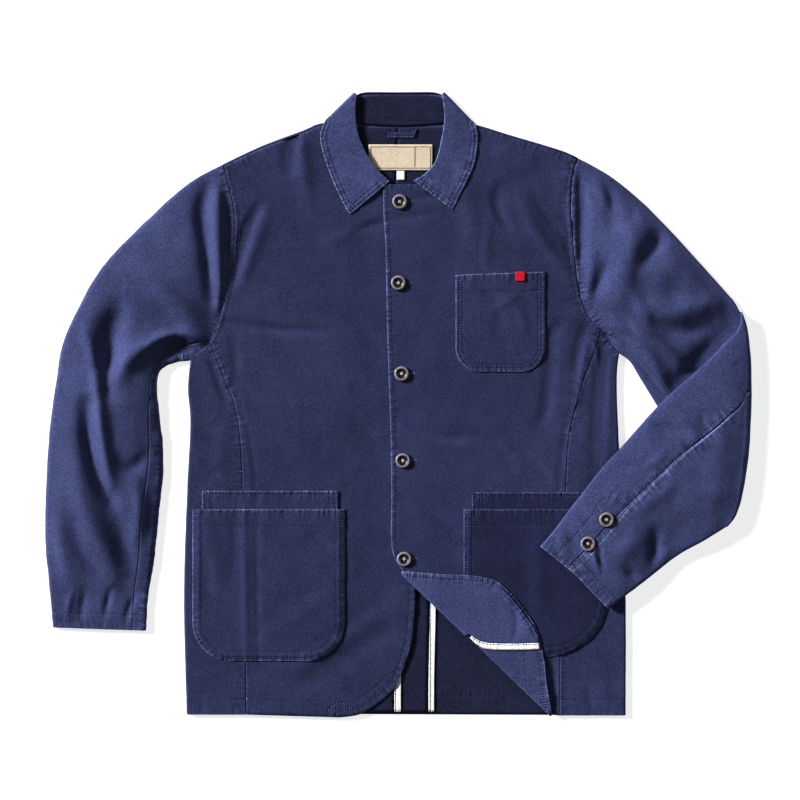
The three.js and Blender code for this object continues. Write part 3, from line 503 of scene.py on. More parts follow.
def offset(points, distance):
    """A line moved to its left side."""
    ahead = np.gradient(points, axis=0)
    ahead /= np.linalg.norm(ahead, axis=1)[:, None]
    return points + distance * np.stack([-ahead[:, 1], ahead[:, 0]], -1)


def seam(line, *rows, pucker=0.35, worn=1.0, reach=9.0, wave=9.0, start=0.0, end=1.0, above=-FAR):
    """A seam or edge: its line, stitched rows to its left in mm, how strongly and how far it puckers."""
    points = sampled(lambda t: line(lerp(start, end, t)))
    return {"points": points, "rows": rows, "pucker": pucker, "worn": worn, "reach": reach, "wave": wave,
            "above": above}


def object_from(name, bm):
    """The mesh becomes an object of the scene."""
    mesh = bpy.data.meshes.new(name)
    bm.to_mesh(mesh)
    bm.free()
    obj = bpy.data.objects.new(name, mesh)
    bpy.context.scene.collection.objects.link(obj)
    return obj


def finish(obj, nodes, cotton):
    """The piece joins the object in place of its plain solids."""
    obj.data.materials.append(cotton)
    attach(obj, "root")
    if nodes:
        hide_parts(*nodes)


def rod(bm, middle, ahead, length, sides, radius, taper=1.0):
    """A round rod along a direction, in metres."""
    turn = ahead.to_track_quat("Z", "Y").to_matrix().to_4x4()
    turn.translation = middle
    bmesh.ops.create_cone(bm, cap_ends=True, segments=sides, radius1=radius, radius2=radius * taper,
                          depth=length, matrix=turn)


def dropped(tree, x, y):
    """Where a plumb line over a place in mm meets the surface."""
    return tree.ray_cast(Vector((x / 1000, y / 1000, ABOVE_ALL)), Vector((0, 0, -1)))[0]


def sewn(name, lines, tree, cotton="navy_thread", pitch=PITCH, radius=THREAD_RADIUS):
    """Stitches along lines, lying on the surface of the tree."""
    bm = bmesh.new()
    for points in lines:
        length = np.r_[0, np.cumsum(np.linalg.norm(np.diff(points, axis=0), axis=1))]
        for k in range(int(length[-1] / pitch)):
            start, end = (dropped(tree, *(np.interp(place, length, axis) for axis in points.T))
                          for place in (k * pitch, k * pitch + SHOWN * pitch))
            # A stitch that would hang between two layers is left out.
            if start and end and (end - start).length <= 0.002 * pitch:
                rod(bm, (start + end) / 2 + Vector((0, 0, LIFTED * radius / 1000)), end - start,
                    (end - start).length, 5, radius / 1000, TAPER)
    for word in ("rim", "row_a", "row_b"):
        layer = bm.verts.layers.float.new(word)
        for v in bm.verts:
            v[layer] = FAR
    finish(object_from(name, bm), [], COTTON[cotton])


# In mm: the size of a piece's own creases; the ripples along a seam, by how fast they change across it, how
# far apart one seam's are from the next one's in the noise, and how strongly they push; a stitched row's
# groove, and how much a turned-in edge stands up inside its last row.
CREASE_SIZE, RIPPLE_SIZE, ACROSS, NEXT_SEAM, PUSH = 26.0, 10.0, 3.2, 50.0, 2.0
GROOVE, GROOVE_WIDTH, TURNED_IN = 0.3, 1.3, 0.12


def puckered(outer, seams, crease, seed):
    """How far the piece is pushed out, what its cloth is told of its seams, and its stitched rows."""
    x, y = outer[..., 0], outer[..., 1]
    push = crease * fractal(outer, CREASE_SIZE, seed)
    values = {word: np.full(x.shape, FAR if word in ("rim", "row_a", "row_b") else 0.0) for word in WORDS}
    stitched = []
    for k, edge in enumerate(seams):
        signed, along = to_line(x, y, edge["points"])
        signed = np.where(outer[..., 2] > edge["above"], signed, FAR)
        far = np.abs(signed)
        ripples = [along / edge["wave"] * RIPPLE_SIZE, far / ACROSS, np.full(x.shape, NEXT_SEAM * k)]
        wave = fractal(np.dstack(ripples), RIPPLE_SIZE, seed + 3.3, 2)
        swell = np.exp(-((far / edge["reach"]) ** 2))
        push = push + edge["pucker"] * wave * swell * PUSH
        values["crest"] = np.maximum(values["crest"], wave * swell)
        nearer = far < np.abs(values["rim"])
        for word, field in (("rim", signed), ("along", along), ("gather", edge["pucker"] * swell),
                            ("worn", edge["worn"])):
            values[word] = np.where(nearer, field, values[word])
        for word, row in zip(("row_a", "row_b"), edge["rows"]):
            gap = signed - row
            values[word] = np.where(np.abs(gap) < np.abs(values[word]), gap, values[word])
            push = push - GROOVE * np.exp(-((gap / GROOVE_WIDTH) ** 2))
            stitched.append(offset(edge["points"], row))
        if edge["rows"]:
            last = edge["rows"][-1]
            inside, end = signed * np.sign(last or 1), abs(last)
            push = push + TURNED_IN * smoothstep(inside, -0.4, 0.6) * (1 - smoothstep(inside, end, end + 2))
    return push, values, stitched


def skin(faces, outer, out, values, kept):
    """The mesh of a grid of places, with its grain as a UV map and its values as attributes."""
    rows, columns = outer.shape[:2]
    bm = bmesh.new()
    bmesh.ops.create_grid(bm, x_segments=columns - 1, y_segments=rows - 1, size=0.5)
    where = [(round((v.co.y + 0.5) * (rows - 1)), round((v.co.x + 0.5) * (columns - 1))) for v in bm.verts]
    pick = tuple(np.array(where).T)
    for v, place in zip(bm.verts, faces[pick] / 1000):
        v.co = place
    for word, field in values.items():
        layer = bm.verts.layers.float.new(word)
        for v, value in zip(bm.verts, field[pick]):
            v[layer] = value
    steps = [np.diff(outer, axis=axis, prepend=np.take(outer, [0], axis)) for axis in (1, 0)]
    along_grid = [np.cumsum(np.linalg.norm(step, axis=-1), axis=axis) for step, axis in zip(steps, (1, 0))]
    mapped, outward = np.dstack(along_grid)[pick], out[pick]
    grain = bm.loops.layers.uv.new("grain")
    bm.verts.ensure_lookup_table()
    bm.verts.index_update()
    for f in bm.faces:
        f.smooth = True
        for loop in f.loops:
            loop[grain].uv = mapped[loop.vert.index]
    bmesh.ops.recalc_face_normals(bm, faces=bm.faces)
    if sum(f.normal.dot(Vector(outward[f.verts[0].index])) for f in bm.faces) < 0:
        bmesh.ops.reverse_faces(bm, faces=bm.faces)
    if kept is not None:
        whole = kept[pick]
        lost = [f for f in bm.faces if not all(whole[v.index] for v in f.verts)]
        bmesh.ops.delete(bm, geom=lost, context="FACES")
    return bm


def made_up(piece, outer, inner, seams=(), kept=None, cotton="navy_twill", slot_name="twill", thickness=0.9,
            crease=0.25, seed=0.0, extra=()):
    """The cloth of a piece, from the grids of its outer and inner faces in mm."""
    name = f"{piece}_cloth"
    out = outer - inner
    out /= np.linalg.norm(out, axis=-1, keepdims=True)
    push, values, stitched = puckered(outer, seams, crease, seed)
    bm = skin(outer + out * push[..., None], outer, out, values, kept)
    SURFACES[piece] = BVHTree.FromBMesh(bm)
    obj = object_from(name, bm)
    wall = obj.modifiers.new("thickness", "SOLIDIFY")
    wall.thickness, wall.offset = thickness / 1000, -1
    wall.use_even_offset = False
    finish(obj, [piece], COTTON[cotton])
    stitched.extend(extra)
    if stitched:
        sewn(f"{name}_stitches", stitched, SURFACES[piece])
    return obj


def laid(*parts):
    """Grids one after another down a piece."""
    return np.concatenate(parts, axis=0)


def mesh_of(rows, columns):
    return np.meshgrid(np.asarray(rows, float), np.asarray(columns, float), indexing="ij")


def without(grid, rows, columns, last=False):
    """Marks the places of a grid that are kept: all but these columns of its first or last rows."""
    kept = np.ones(grid.shape[:2], bool)
    kept[slice(-rows, None) if last else slice(rows), columns] = False
    return kept


def wall(maker):
    """The outer and inner grids of a maker that takes the depth into the cloth."""
    return maker(0.0), maker(CLOTH)


# ---- Back ----
# Two halves lying flat on the table, turned over the shoulder edges; their inner faces show in the neck
# and between the fronts at the hem.
CENTRE_BACK = ([0, 347], [-33, -388])
# The share of the columns that lie along the neckline, and half the gap left between the halves' grids.
NECK_COLUMNS, BUTTED = 0.3, 0.35
# A panel's grid stops a hair short of its edges.
INSIDE_EDGES = 0.0008, 0.9992


def back_lift(p):
    rise = np.clip((p[..., 1] - 200) / 133, 0, 1)
    return 1.5 * rise * (1 - smoothstep(np.abs(p[..., 0]), 120, 170))


def back_top(p):
    return back_lift(p) + CLOTH


for hand, side in BODY.items():
    top = side.shoulder(ROLL)
    neckline = through([CENTRE_BACK[0], [NECK[hand][0] * 0.6, 347], top(0)])
    plan = panel(joined(neckline, NECK_COLUMNS, top), straight(CENTRE_BACK[1], side.seam(1)),
                 straight(*CENTRE_BACK), side.outer)
    angles, lengths = np.radians(np.linspace(90, -40, 7)), shares(735, 9, 4)
    columns = np.unique(np.r_[np.linspace(0, NECK_COLUMNS, 14), np.linspace(NECK_COLUMNS, 1, 22)])

    def back(depth):
        angle, v = mesh_of(angles, lerp(*INSIDE_EDGES, columns))
        share = np.maximum(0, (v - NECK_COLUMNS) / (1 - NECK_COLUMNS))
        over = side.shoulder(ROLL - (ROLL - depth) * np.cos(angle))(share)
        low = back_lift(top(share))
        turned = raised(over, (low + TOP) / 2 + ((TOP - low) / 2 - depth) * np.sin(angle))
        flat = plan(*mesh_of(lengths, lerp(*INSIDE_EDGES, columns)))
        grid = laid(turned, raised(flat, back_lift(flat) + depth))
        grid[..., 0] += BUTTED * smoothstep(columns, 0.03, 0.0) * (-1 if hand == "left" else 1)
        return grid

    outer, inner = wall(back)
    # Its inner face takes the darker inside cloth, partly painted shade in the neck.
    half_back = made_up(
        f"back_{hand}", inner, outer, kept=without(outer, len(angles), columns < NECK_COLUMNS - 0.001),
        cotton="navy_twill_inside_shaded", crease=0.0, thickness=CLOTH,
        seams=[seam(straight([-80, -365.5], [180, -367]), 0, pucker=0.1, reach=12, worn=0.0)],
    )
    half_back.data.materials.append(COTTON["navy_twill"])
    half_back.modifiers["thickness"].material_offset = 1

# ---- Hem vent of the back ----
# Facing and underlap lie inside the hem, their raw edges bound in white tape.
# columns: name, left x, right x, bound edge width, top y, layers over the table, drop at the left end
VENT = [
    ("vent_facing", -32, 39, 7.2, -160, 1, 0.0),
    ("vent_underlap", -56, -5, 8.4, -150, 2, 1.4),
]
VENT_HEM = -385
# How far the strips bow sideways.
BOW = 1.2
for name, left, right, bound, top, layers, drop in VENT:
    def strip(depth, x0=left, x1=right):
        y, x = mesh_of(np.linspace(top, VENT_HEM, 60), np.linspace(x0, x1, 14))
        bowed_x = x + BOW * np.sin(y / 47) * (layers == 1)
        z = layers * (CLOTH + LAYER) - drop * (1 - smoothstep(x, -46, -34))
        return np.dstack([bowed_x, y, z + CLOTH - depth])

    made_up(name, *wall(strip), cotton="navy_twill_inside_shaded", crease=0.1, thickness=CLOTH)
    edge = straight([right + 1.0, top], [right + 1.0, VENT_HEM])
    made_up(
        f"{name}_binding", *wall(lambda depth: strip(depth, right + LAYER, right + LAYER + bound)),
        cotton="white_binding", slot_name="binding", crease=0.12, thickness=CLOTH, seed=4.0,
        seams=[seam(edge, 1.2, pucker=0.15, worn=0.0)],
    )

# ---- Side panels ----
# Each runs from the back seam round the side edge to the seam at the front.
TURN = np.linspace(-90, 90, 9)
for hand, side in BODY.items():
    seam_share = side.flat(SEAM_SHARE)
    top = lambda v: side.armhole(lerp(seam_share, 1, np.asarray(v)))
    plan = panel(top, straight(side.seam(1), side.side(1)), side.seam, side.side)
    rows, sign = shares(460), 1 if hand == "right" else -1

    def side_panel(depth):
        grids = []
        lengths = ("under", np.linspace(0, 1, 6)[:-1]), ("turn", TURN), ("over", shares(66)[::-1][1:])
        for kind, values in lengths:
            s, c = mesh_of(lerp(0.0006, 1, rows), values)
            width = np.linalg.norm(plan(s, 0) - plan(s, 1), axis=-1)
            inset, trim = ROLL / width, SEAM / width
            if kind == "over":
                p = plan(s, np.maximum(c * (1 - inset), trim))
                grids.append(raised(p, TOP + body_rise(p) * (1 - c**2) - depth))
                continue
            turn = np.radians(c if kind == "turn" else -90 + 0 * c)
            v = 1 - inset * (1 - (ROLL - depth) / ROLL * np.cos(turn))
            v = v if kind == "turn" else lerp(trim, 1 - inset, c)
            grids.append(raised(plan(s, v), ROLL + (ROLL - depth) * np.sin(turn)))
        return np.concatenate(grids, axis=1)

    made_up(
        f"side_{hand}", *wall(side_panel), seed=hand == "left",
        seams=[
            seam(side.seam, pucker=0.25, reach=7, end=0.4, worn=0.2),
            seam(side.seam, pucker=0.18, start=0.4, worn=0.3),
            seam(straight(side.seam(1), side.side(1)), -19 * sign, pucker=0.1, reach=13),
            seam(top, pucker=0.4, worn=0.0),
        ],
    )

# ---- Right front ----
# It lies under the left one; its lower corner is cut away in a curve and topstitched.
# The share of a front's columns that lie along its neckline.
FRONT_NECK = 0.4
front_columns = np.unique(np.r_[
    np.linspace(0, FRONT_NECK, 42), np.linspace(FRONT_NECK, 0.96, 48), 0.972, 0.982, 0.99, 1])
front_rows = np.unique(np.r_[0, 0.004, 0.009, np.linspace(0.014, 0.97, 226), 0.976, 0.982, 0.988, 0.994, 1])


def front_trim(v):
    return lerp(0.0008, 0.9991, v)


def shoulder_seam(hand):
    return BODY[hand].shoulder(ROLL + 2 * SEAM)


def front_seams(hand, neck, reach, worn):
    """A front's seams to its side panel, sleeve, back and collar."""
    side, sign = BODY[hand], 1 if hand == "right" else -1
    return [seam(side.seam, pucker=0.3, reach=reach, end=0.3, worn=worn),
            seam(lambda s: side.armhole(side.flat(s * SEAM_SHARE)), 6 * sign, pucker=0.2, reach=12, worn=0.1),
            seam(shoulder_seam(hand), -1.5, -6.5, pucker=0.2, worn=0.2), seam(neck, pucker=0.2, worn=0.0)]


right_hem = [-72, -391.5]
right_curve = through([[-2, -353], [-22, -372], [-46, -387], right_hem])
right_edge = through([[22, 275], [22, 100], [22, -100], [22, -231], [19.6, -274], [15, -306], [-2, -353]])
right_neck = through([[22, 275], [-13, 275.5], [-31, 281], [-46, 293], [-56, 309], [-62, 329],
                      shoulder_seam("right")(0)])
right_front = panel(
    joined(right_neck, FRONT_NECK, shoulder_seam("right")),
    joined(right_curve, 0.4, straight(right_hem, [-190, -388])), right_edge, BODY["right"].outer,
)


def right_grid(depth):
    p = right_front(*mesh_of(front_rows, front_trim(front_columns)))
    return raised(p, right_top(p) - depth)


made_up(
    "front_right", *wall(right_grid), seed=2.0,
    seams=[
        seam(right_edge, -7, pucker=0.3, start=0.75), seam(right_curve, -7, -18, pucker=0.22, reach=12),
        seam(straight(right_hem, [-190, -388]), -19, pucker=0.1, reach=13),
        *front_seams("right", right_neck, 9, 0.2),
    ],
)

# ---- Left front ----
# It buttons over the right one; its lower corner is turned up about a slanting fold and lies back on it.
FOLD_START, FOLD_END = [2.5, -211], [189, -391]
# The room inside the fold, and the share of the front's columns that reach it.
FOLD_GAP, FOLD_COLUMNS = 3.5, 0.9
# The facing's inner face over the turned-up cloth.
FACING = CLOTH + LAYER
fold_line = straight(FOLD_START, FOLD_END)
fold_out = np.array([FOLD_END[1] - FOLD_START[1], FOLD_START[0] - FOLD_END[0]], float)
fold_out /= np.linalg.norm(fold_out)


def axis_line(share):
    return fold_line(share) - fold_out * (FOLD_GAP / 2 + FACING + CLOTH)


fold_start, fold_end = axis_line(0), axis_line(1)
left_neck = through([[-19, 275.5], [19, 275.5], [38, 280], [51, 291], [59.5, 307], [65, 329],
                     shoulder_seam("left")(0)])
left_edge = through([[-19, 275.5], [-18.5, 240], [-16, 200], [-15, 158], [-14, 100], [-11.5, 18], [-9.5, -39],
                     [-8.5, -109], [-8, -179], fold_start])
left_front = panel(
    joined(left_neck, FRONT_NECK, shoulder_seam("left")),
    joined(axis_line, FOLD_COLUMNS, straight(fold_end, [202, -389])), left_edge, BODY["left"].outer,
)
flap_start, flap_end = [10, -208], [191.5, -383.5]
flap_edge = through([flap_start, [54, -212], [83, -213], [102, -215], [121, -220], [134, -229], [150, -246],
                     [161, -261], [171, -276], [178, -296], [183, -322], [186, -350], flap_end])
flap = panel(axis_line, flap_edge, straight(fold_start, flap_start), straight(fold_end, flap_end))


def flap_low(p):
    from_fold = np.maximum(0, -((p - fold_start) @ fold_out))
    return left_top(p) + FOLD_GAP + 1.8 * (from_fold / 110) ** 3


def fold_turn(share, radius, angle):
    p = axis_line(share)
    z = left_top(p) + FOLD_GAP / 2 + radius * np.sin(angle)
    return raised(p + fold_out * (radius * np.cos(angle))[..., None], z)


flap_rows, fold_angles = shares(120, 2.6)[1:], np.radians(np.linspace(-67, 90, 8))
left_columns = np.unique(np.r_[front_columns, FOLD_COLUMNS])


def left_grid(depth):
    p = left_front(*mesh_of(front_rows, front_trim(left_columns)))
    to_fold = np.minimum(left_columns / FOLD_COLUMNS, 1)
    angle, share = mesh_of(fold_angles, to_fold)
    q = flap(*mesh_of(flap_rows, to_fold))
    return laid(raised(p, left_top(p) - depth), fold_turn(share, FOLD_GAP / 2 + depth, angle),
                raised(q, flap_low(q) + depth))


# Heights that only the turned-up corner reaches: over the table for its seams, over the front for its faces.
ON_FLAP, OVER_FRONT = 8.0, 2
outer, inner = wall(left_grid)
front_left = made_up(
    "front_left", outer, inner, seed=3.0,
    kept=without(outer, len(fold_angles) + len(flap_rows), left_columns > FOLD_COLUMNS + 0.001, last=True),
    seams=[
        seam(left_edge, 7, pucker=0.4, reach=8),
        seam(straight([190, -389], [202, -389]), 19, pucker=0.3),
        *front_seams("left", left_neck, 8, 0.3),
        seam(flap_edge, -6, pucker=0.3, reach=9, above=ON_FLAP),
        seam(straight([157, -308], [162, -361]), 0, pucker=0.15, reach=6, worn=0.0, above=ON_FLAP),
    ],
)
# The turned-up corner's faces that stand over the front take the paler sleeve cloth: painted light.
front_left.data.materials.append(COTTON["navy_twill_sleeve_painted_light"])
middles = np.array([face.center for face in front_left.data.polygons]) * 1000
for face, over in zip(front_left.data.polygons, middles[:, 2] > left_top(middles[:, :2]) + OVER_FRONT):
    face.material_index = int(over)

# The facing lies on the turned-up corner and turns with the fold; its lower edge is bound in white.
facing_upper = through([[92, -288.5], [99, -293.5], [113, -297.5], [145, -298.5], [176, -297.5]])
facing_lower = through([[90, -291.5], [100, -300.5], [113, -305.5], [145, -306.5], [177, -305.5]])
# The share of the fold that the facing covers, of its own low edge that lies on the fold, and of the
# corner's edge that it follows.
FOLDED, ON_FOLD, FACED = 0.44, 0.6, 0.655


def facing_layer(p, depth):
    return raised(p, flap_low(p) + FACING + depth)


def low_edge(v):
    v = np.asarray(v, float)
    beyond = facing_upper((v - ON_FOLD) / (1 - ON_FOLD)) + np.array([-0.2, 0.6])
    return np.where((v <= ON_FOLD)[..., None], axis_line(np.minimum(v / ON_FOLD, 1) * FOLDED), beyond)


facing = panel(low_edge, lambda v: flap_edge(np.asarray(v) * FACED) - 0.8, straight(fold_start, flap_start),
               straight([175.8, -297], [174.5, -290]))
facing_columns = np.unique(np.r_[np.linspace(0.01, ON_FOLD, 40), np.linspace(ON_FOLD + 0.005, 1, 34)])
facing_rows, facing_angles = shares(75, 2.6), np.radians(np.linspace(-35, 80, 6))


def facing_grid(depth):
    angle, share = mesh_of(facing_angles, np.minimum(facing_columns, ON_FOLD) / ON_FOLD * FOLDED)
    w, v = mesh_of(facing_rows, facing_columns)
    return laid(fold_turn(share, FOLD_GAP / 2 + FACING + depth, angle), facing_layer(facing(w, v), depth))


inner, outer = wall(facing_grid)
# The facing takes the paler copy of the twill, painted light.
made_up(
    "front_left_facing", outer, inner, cotton="navy_twill_painted_light", seed=5.0, crease=0.35,
    kept=without(outer, len(facing_angles), facing_columns > ON_FOLD + 0.001),
    seams=[seam(lambda s: flap_edge(s * FACED), -6, pucker=0.35, reach=9)],
)


def binding_grid(depth):
    side, share = mesh_of(np.linspace(0, 1, 5), np.linspace(0, 1, 40))
    p = lerp(facing_upper(share), facing_lower(share), side[..., None])
    return facing_layer(p, CLOTH - depth)


made_up("facing_binding", *wall(binding_grid), cotton="white_binding", slot_name="binding", crease=0.15,
        seed=6.0, seams=[seam(facing_upper, -1.6, pucker=0.15, worn=0.0)])

# ---- Sleeves ----
# Flattened tubes in two pieces.  Columns run over the top from the front seam, round the near edge, under
# to the back seam, on under and round the far edge.  Forearm and elbow of the left one lie back on top.
BACK_SEAM = 0.37
# Half the slit left at a sleeve's own seams, and how far its head reaches over the armhole's gap.
SLIT, HEAD = 0.0002, 0.5


def rise(table):
    """Fullness along a sleeve, eased between the rows of (share, height)."""
    ends, heights = (np.array(column) for column in zip(*table))

    def height(s):
        k = np.clip(np.searchsorted(ends, s), 1, len(ends) - 1)
        return lerp(heights[k - 1], heights[k], smoothstep((s - ends[k - 1]) / (ends[k] - ends[k - 1]), 0, 1))
    return height


def crown(v):
    return np.sin(np.pi * np.clip(v, 0, 1)) ** 0.8


def inner_share(v):
    return smoothstep(np.minimum(v, 1 - v), 0.02, 0.16)


def tube(arm, part, s, columns, depth):
    """One length of a sleeve."""
    grids = []
    for kind, values in columns:
        rows, c = mesh_of(s, values)
        wrap = ROLL / arm.width(part, rows)
        turn = np.radians(c)
        inset = wrap * (1 - (ROLL - depth) / ROLL * np.cos(turn))
        v = wrap + (1 - 2 * wrap) * c
        if kind in ("near", "far"):
            v, h = inset if kind == "near" else 1 - inset, ROLL + (ROLL - depth) * np.sin(turn)
        elif kind == "under":
            h = depth - arm.fall(part, rows, v)
        else:
            h = TOP + arm.lift(part, rows, v) - depth
        grids.append(arm.place(part, rows, v, h))
    return np.concatenate(grids, axis=1)


def sleeve(hand, arm, parts, top_seams, under_seams, over_step, under_step):
    """Both pieces of a sleeve; parts are (name, rows) down its length."""
    over, back = int(150 / over_step), int(60 / under_step)
    top = [("over", np.linspace(SEAM_SHARE - SLIT, 0, over)), ("near", TURN[::-1][1:]),
           ("under", np.linspace(0, BACK_SEAM - SLIT, back)[1:])]
    under = [("under", np.linspace(BACK_SEAM + SLIT, 1, int(100 / under_step))), ("far", TURN[1:]),
             ("over", np.linspace(1, SEAM_SHARE + SLIT, 12)[1:])]
    for name, columns, seams in (("top", top, top_seams), ("under", under, under_seams)):
        outer, inner = wall(lambda depth: laid(*(tube(arm, part, s, columns, depth) for part, s in parts)))
        for grid in (outer, inner):
            ahead = grid[0] - grid[1]
            grid[0] += HEAD * ahead / np.linalg.norm(ahead, axis=-1, keepdims=True)
        # The sleeves take the paler copy of the twill: painted light.
        made_up(f"sleeve_{hand}_{name}", outer, inner, seams=seams, cotton="navy_twill_sleeve_painted_light", crease=0.45,
                seed=7.0 + (hand == "left"))


def lying(p, s, v, fullness, folds, ease=1.0):
    """The height of a sleeve's top: the body's swell at the armhole, its own fullness and its folds."""
    laid_folds = SLEEVE_DEPTH * bowed(p[..., 0], p[..., 1], folds) * inner_share(v) * smoothstep(s, 0, 0.03)
    body = body_rise(p) * (1 - smoothstep(s, 0.02, 0.15))
    return settled(body + fullness(s) * crown(v) + laid_folds * ease, SLEEVE_FLOOR)


def armhole_seam(hand, start=0.0):
    return seam(BODY[hand].armhole, pucker=0.3, reach=10, start=start, worn=0.1)


class RightArm:
    """It lies straight down beside the body."""

    def __init__(self):
        armhole = BODY["right"].armhole
        self.outer = through([armhole(0), [-263, 276], [-315, 230], [-371, 171], [-402, 117], [-421, 72],
                              [-427.5, 31], [-434, -12], [-438.5, -62], [-441.3, -120], [-441.5, -174],
                              [-437.5, -217], [-432, -279]])
        self.inside = through([armhole(1), [-280, 52], [-298, 42], [-302, 20], [-298, -20], [-293.5, -65],
                               [-296, -110], [-301, -150], [-306, -200], [-313, -240], [-316, -283]])
        self.hem = straight([-432, -279], [-316, -283])
        self.plan = panel(armhole, self.hem, self.outer, lambda s: self.inside(np.asarray(s) ** 1.6), 3)
        self.fullness = rise([(0, 0), (0.15, 8), (0.45, 12), (0.8, 9), (0.97, 1.4), (1, 0)])

    def width(self, part, s):
        return np.linalg.norm(self.plan(s, 0) - self.plan(s, 1), axis=-1)

    def place(self, part, s, v, h):
        return raised(self.plan(lerp(0.0005, 1, s), v), h)

    def fall(self, part, s, v):
        return 0.0

    def lift(self, part, s, v):
        return lying(self.plan(s, v), s, v, self.fullness, RIGHT_ARM_FOLDS)


right_arm = RightArm()
right_hem_seam = seam(right_arm.hem, 20, pucker=0.16, reach=14)
sleeve(
    "right", right_arm, [("whole", shares(600, 3.2))],
    [right_hem_seam, armhole_seam("right"), seam(right_arm.outer, pucker=0.12, reach=6, worn=0.0)],
    [right_hem_seam, armhole_seam("right", 0.8), seam(right_arm.inside, pucker=0.4, reach=8, worn=0.3)],
    3.0, 14.0,
)


class LeftArm:
    """Its upper arm lies on the table, the forearm lies back on top of it."""

    # The height of the axis that it is folded about.
    AXIS = 8.25

    def __init__(self):
        self.upper_full = rise([(0, 0), (0.2, 8), (0.5, 6), (0.8, 2.4), (1, 1)])
        self.fore_full = rise([(0, 0), (0.2, 6), (0.5, 7), (0.8, 4), (1, 0)])
        self.crease = through([[429.5, 116], [437, 92], [441.7, 40], [440, -40], [433, -99], [424, -135],
                               [411, -153]])
        top, low = self.crease_axis(0.0), self.crease_axis(1.0)
        armhole = BODY["left"].armhole
        self.outer = through([armhole(0), [267, 285], [306, 253], [327, 232], [352, 206], [409, 142.5],
                              [421.5, 128], top])
        under_arm = through([armhole(1), [291, 53], [304, 32], [335, -20], [372, -90], low])
        self.upper = panel(armhole, self.crease_axis, self.outer,
                           lambda s: under_arm(np.asarray(s) ** 1.3), 3)
        self.cuff = through([[177.5, -177], [218, -210], [239, -231], [262, -255]])
        self.near = through([top, [427, 102], [421, 90], [406, 75], [391, 59], [370, 39.5], [347, 20],
                             [324, -2], [280, -51], [258, -75], [228.5, -111.5], [194, -157], [177.5, -177]])
        self.fore = panel(self.crease_axis, self.cuff, self.near,
                          through([low, [380, -171], [352, -187], [307, -221], [262, -255]]))

    def from_crease(self, v, distance):
        v = np.asarray(v, float)
        ahead = self.crease(v + 0.01) - self.crease(v - 0.01)
        ahead /= np.linalg.norm(ahead, axis=-1, keepdims=True)
        out = np.stack([-ahead[..., 1], ahead[..., 0]], -1)
        reach = 0.15 + 0.85 * np.sin(np.pi * np.clip(v, 0, 1)) ** 0.6
        return self.crease(v) - out * (reach * distance)[..., None]

    def crease_axis(self, v):
        return self.from_crease(v, self.AXIS)

    def width(self, part, s):
        if part == "turn":
            return np.full(np.shape(s), np.linalg.norm(self.crease(0) - self.crease(1)))
        plan = self.upper if part == "upper" else self.fore
        return np.linalg.norm(plan(s, 0) - plan(s, 1), axis=-1)

    def place(self, part, s, v, h):
        if part == "upper":
            return raised(self.upper(lerp(0.0005, 1, s), v), h)
        if part == "turn":
            radius, turn = self.AXIS - h, np.radians(s)
            p = self.from_crease(v, self.AXIS - radius * np.cos(turn))
            return raised(p, self.AXIS + radius * np.sin(turn))
        p = self.fore(s, v)
        # The forearm sags where no cloth lies under it, past the body's edge.
        sag = 5.5 * mound(p[..., 0], p[..., 1], 335, -185, 38, 45)
        return raised(p, 2 * self.AXIS - h - sag)

    def fall(self, part, s, v):
        if part != "fore":
            return 0.0
        p = self.fore(s, v)
        return self.fore_full(s) * crown(v) + bowed(p[..., 0], p[..., 1], FOREARM_FOLDS) * inner_share(v)

    def lift(self, part, s, v):
        if part == "turn":
            return crown(v)
        if part == "fore":
            return crown(v) * (1 - smoothstep(s, 0, 0.3))
        return lying(self.upper(s, v), s, v, self.upper_full, LEFT_ARM_FOLDS, 1 - smoothstep(s, 0.8, 1))


left_arm = LeftArm()
fore_seam = through([[441, 19], [412, -15], [372, -49], [332, -85], [304, -113], [288, -128], [262, -161],
                     [236, -191], [218, -208.5]])
placket = through([[277, -123], [258, -115], [243, -135], [222, -161], [196, -189]])
# The height over the table that only the folded forearm reaches.
ON_FOREARM = 13.0
fore_seams = [seam(left_arm.cuff, 17, pucker=0.25, reach=12, above=ON_FOREARM),
              seam(fore_seam, -6, pucker=0.45, reach=10, wave=8, start=0.12, above=ON_FOREARM)]
sleeve(
    "left", left_arm,
    [("upper", shares(230, 3.0)), ("turn", np.linspace(-70, 70, 9)), ("fore", shares(300, 2.8))],
    [*fore_seams, armhole_seam("left"), seam(placket, 0, pucker=0.2, worn=0.0, above=ON_FOREARM)],
    [*fore_seams, seam(left_arm.near, pucker=0.1, reach=6, worn=0.0, above=ON_FOREARM)],
    3.0, 2.8,
)

# ---- Collar ----
# A fall rolled over a stand.  Both run up one front, turn over about a crease at the shoulder, cross the
# back lying flat and come down the other front.  w runs across the band from the roll.


def front_top(p):
    return np.where(p[..., 0] > -19, left_top(p), right_top(p))


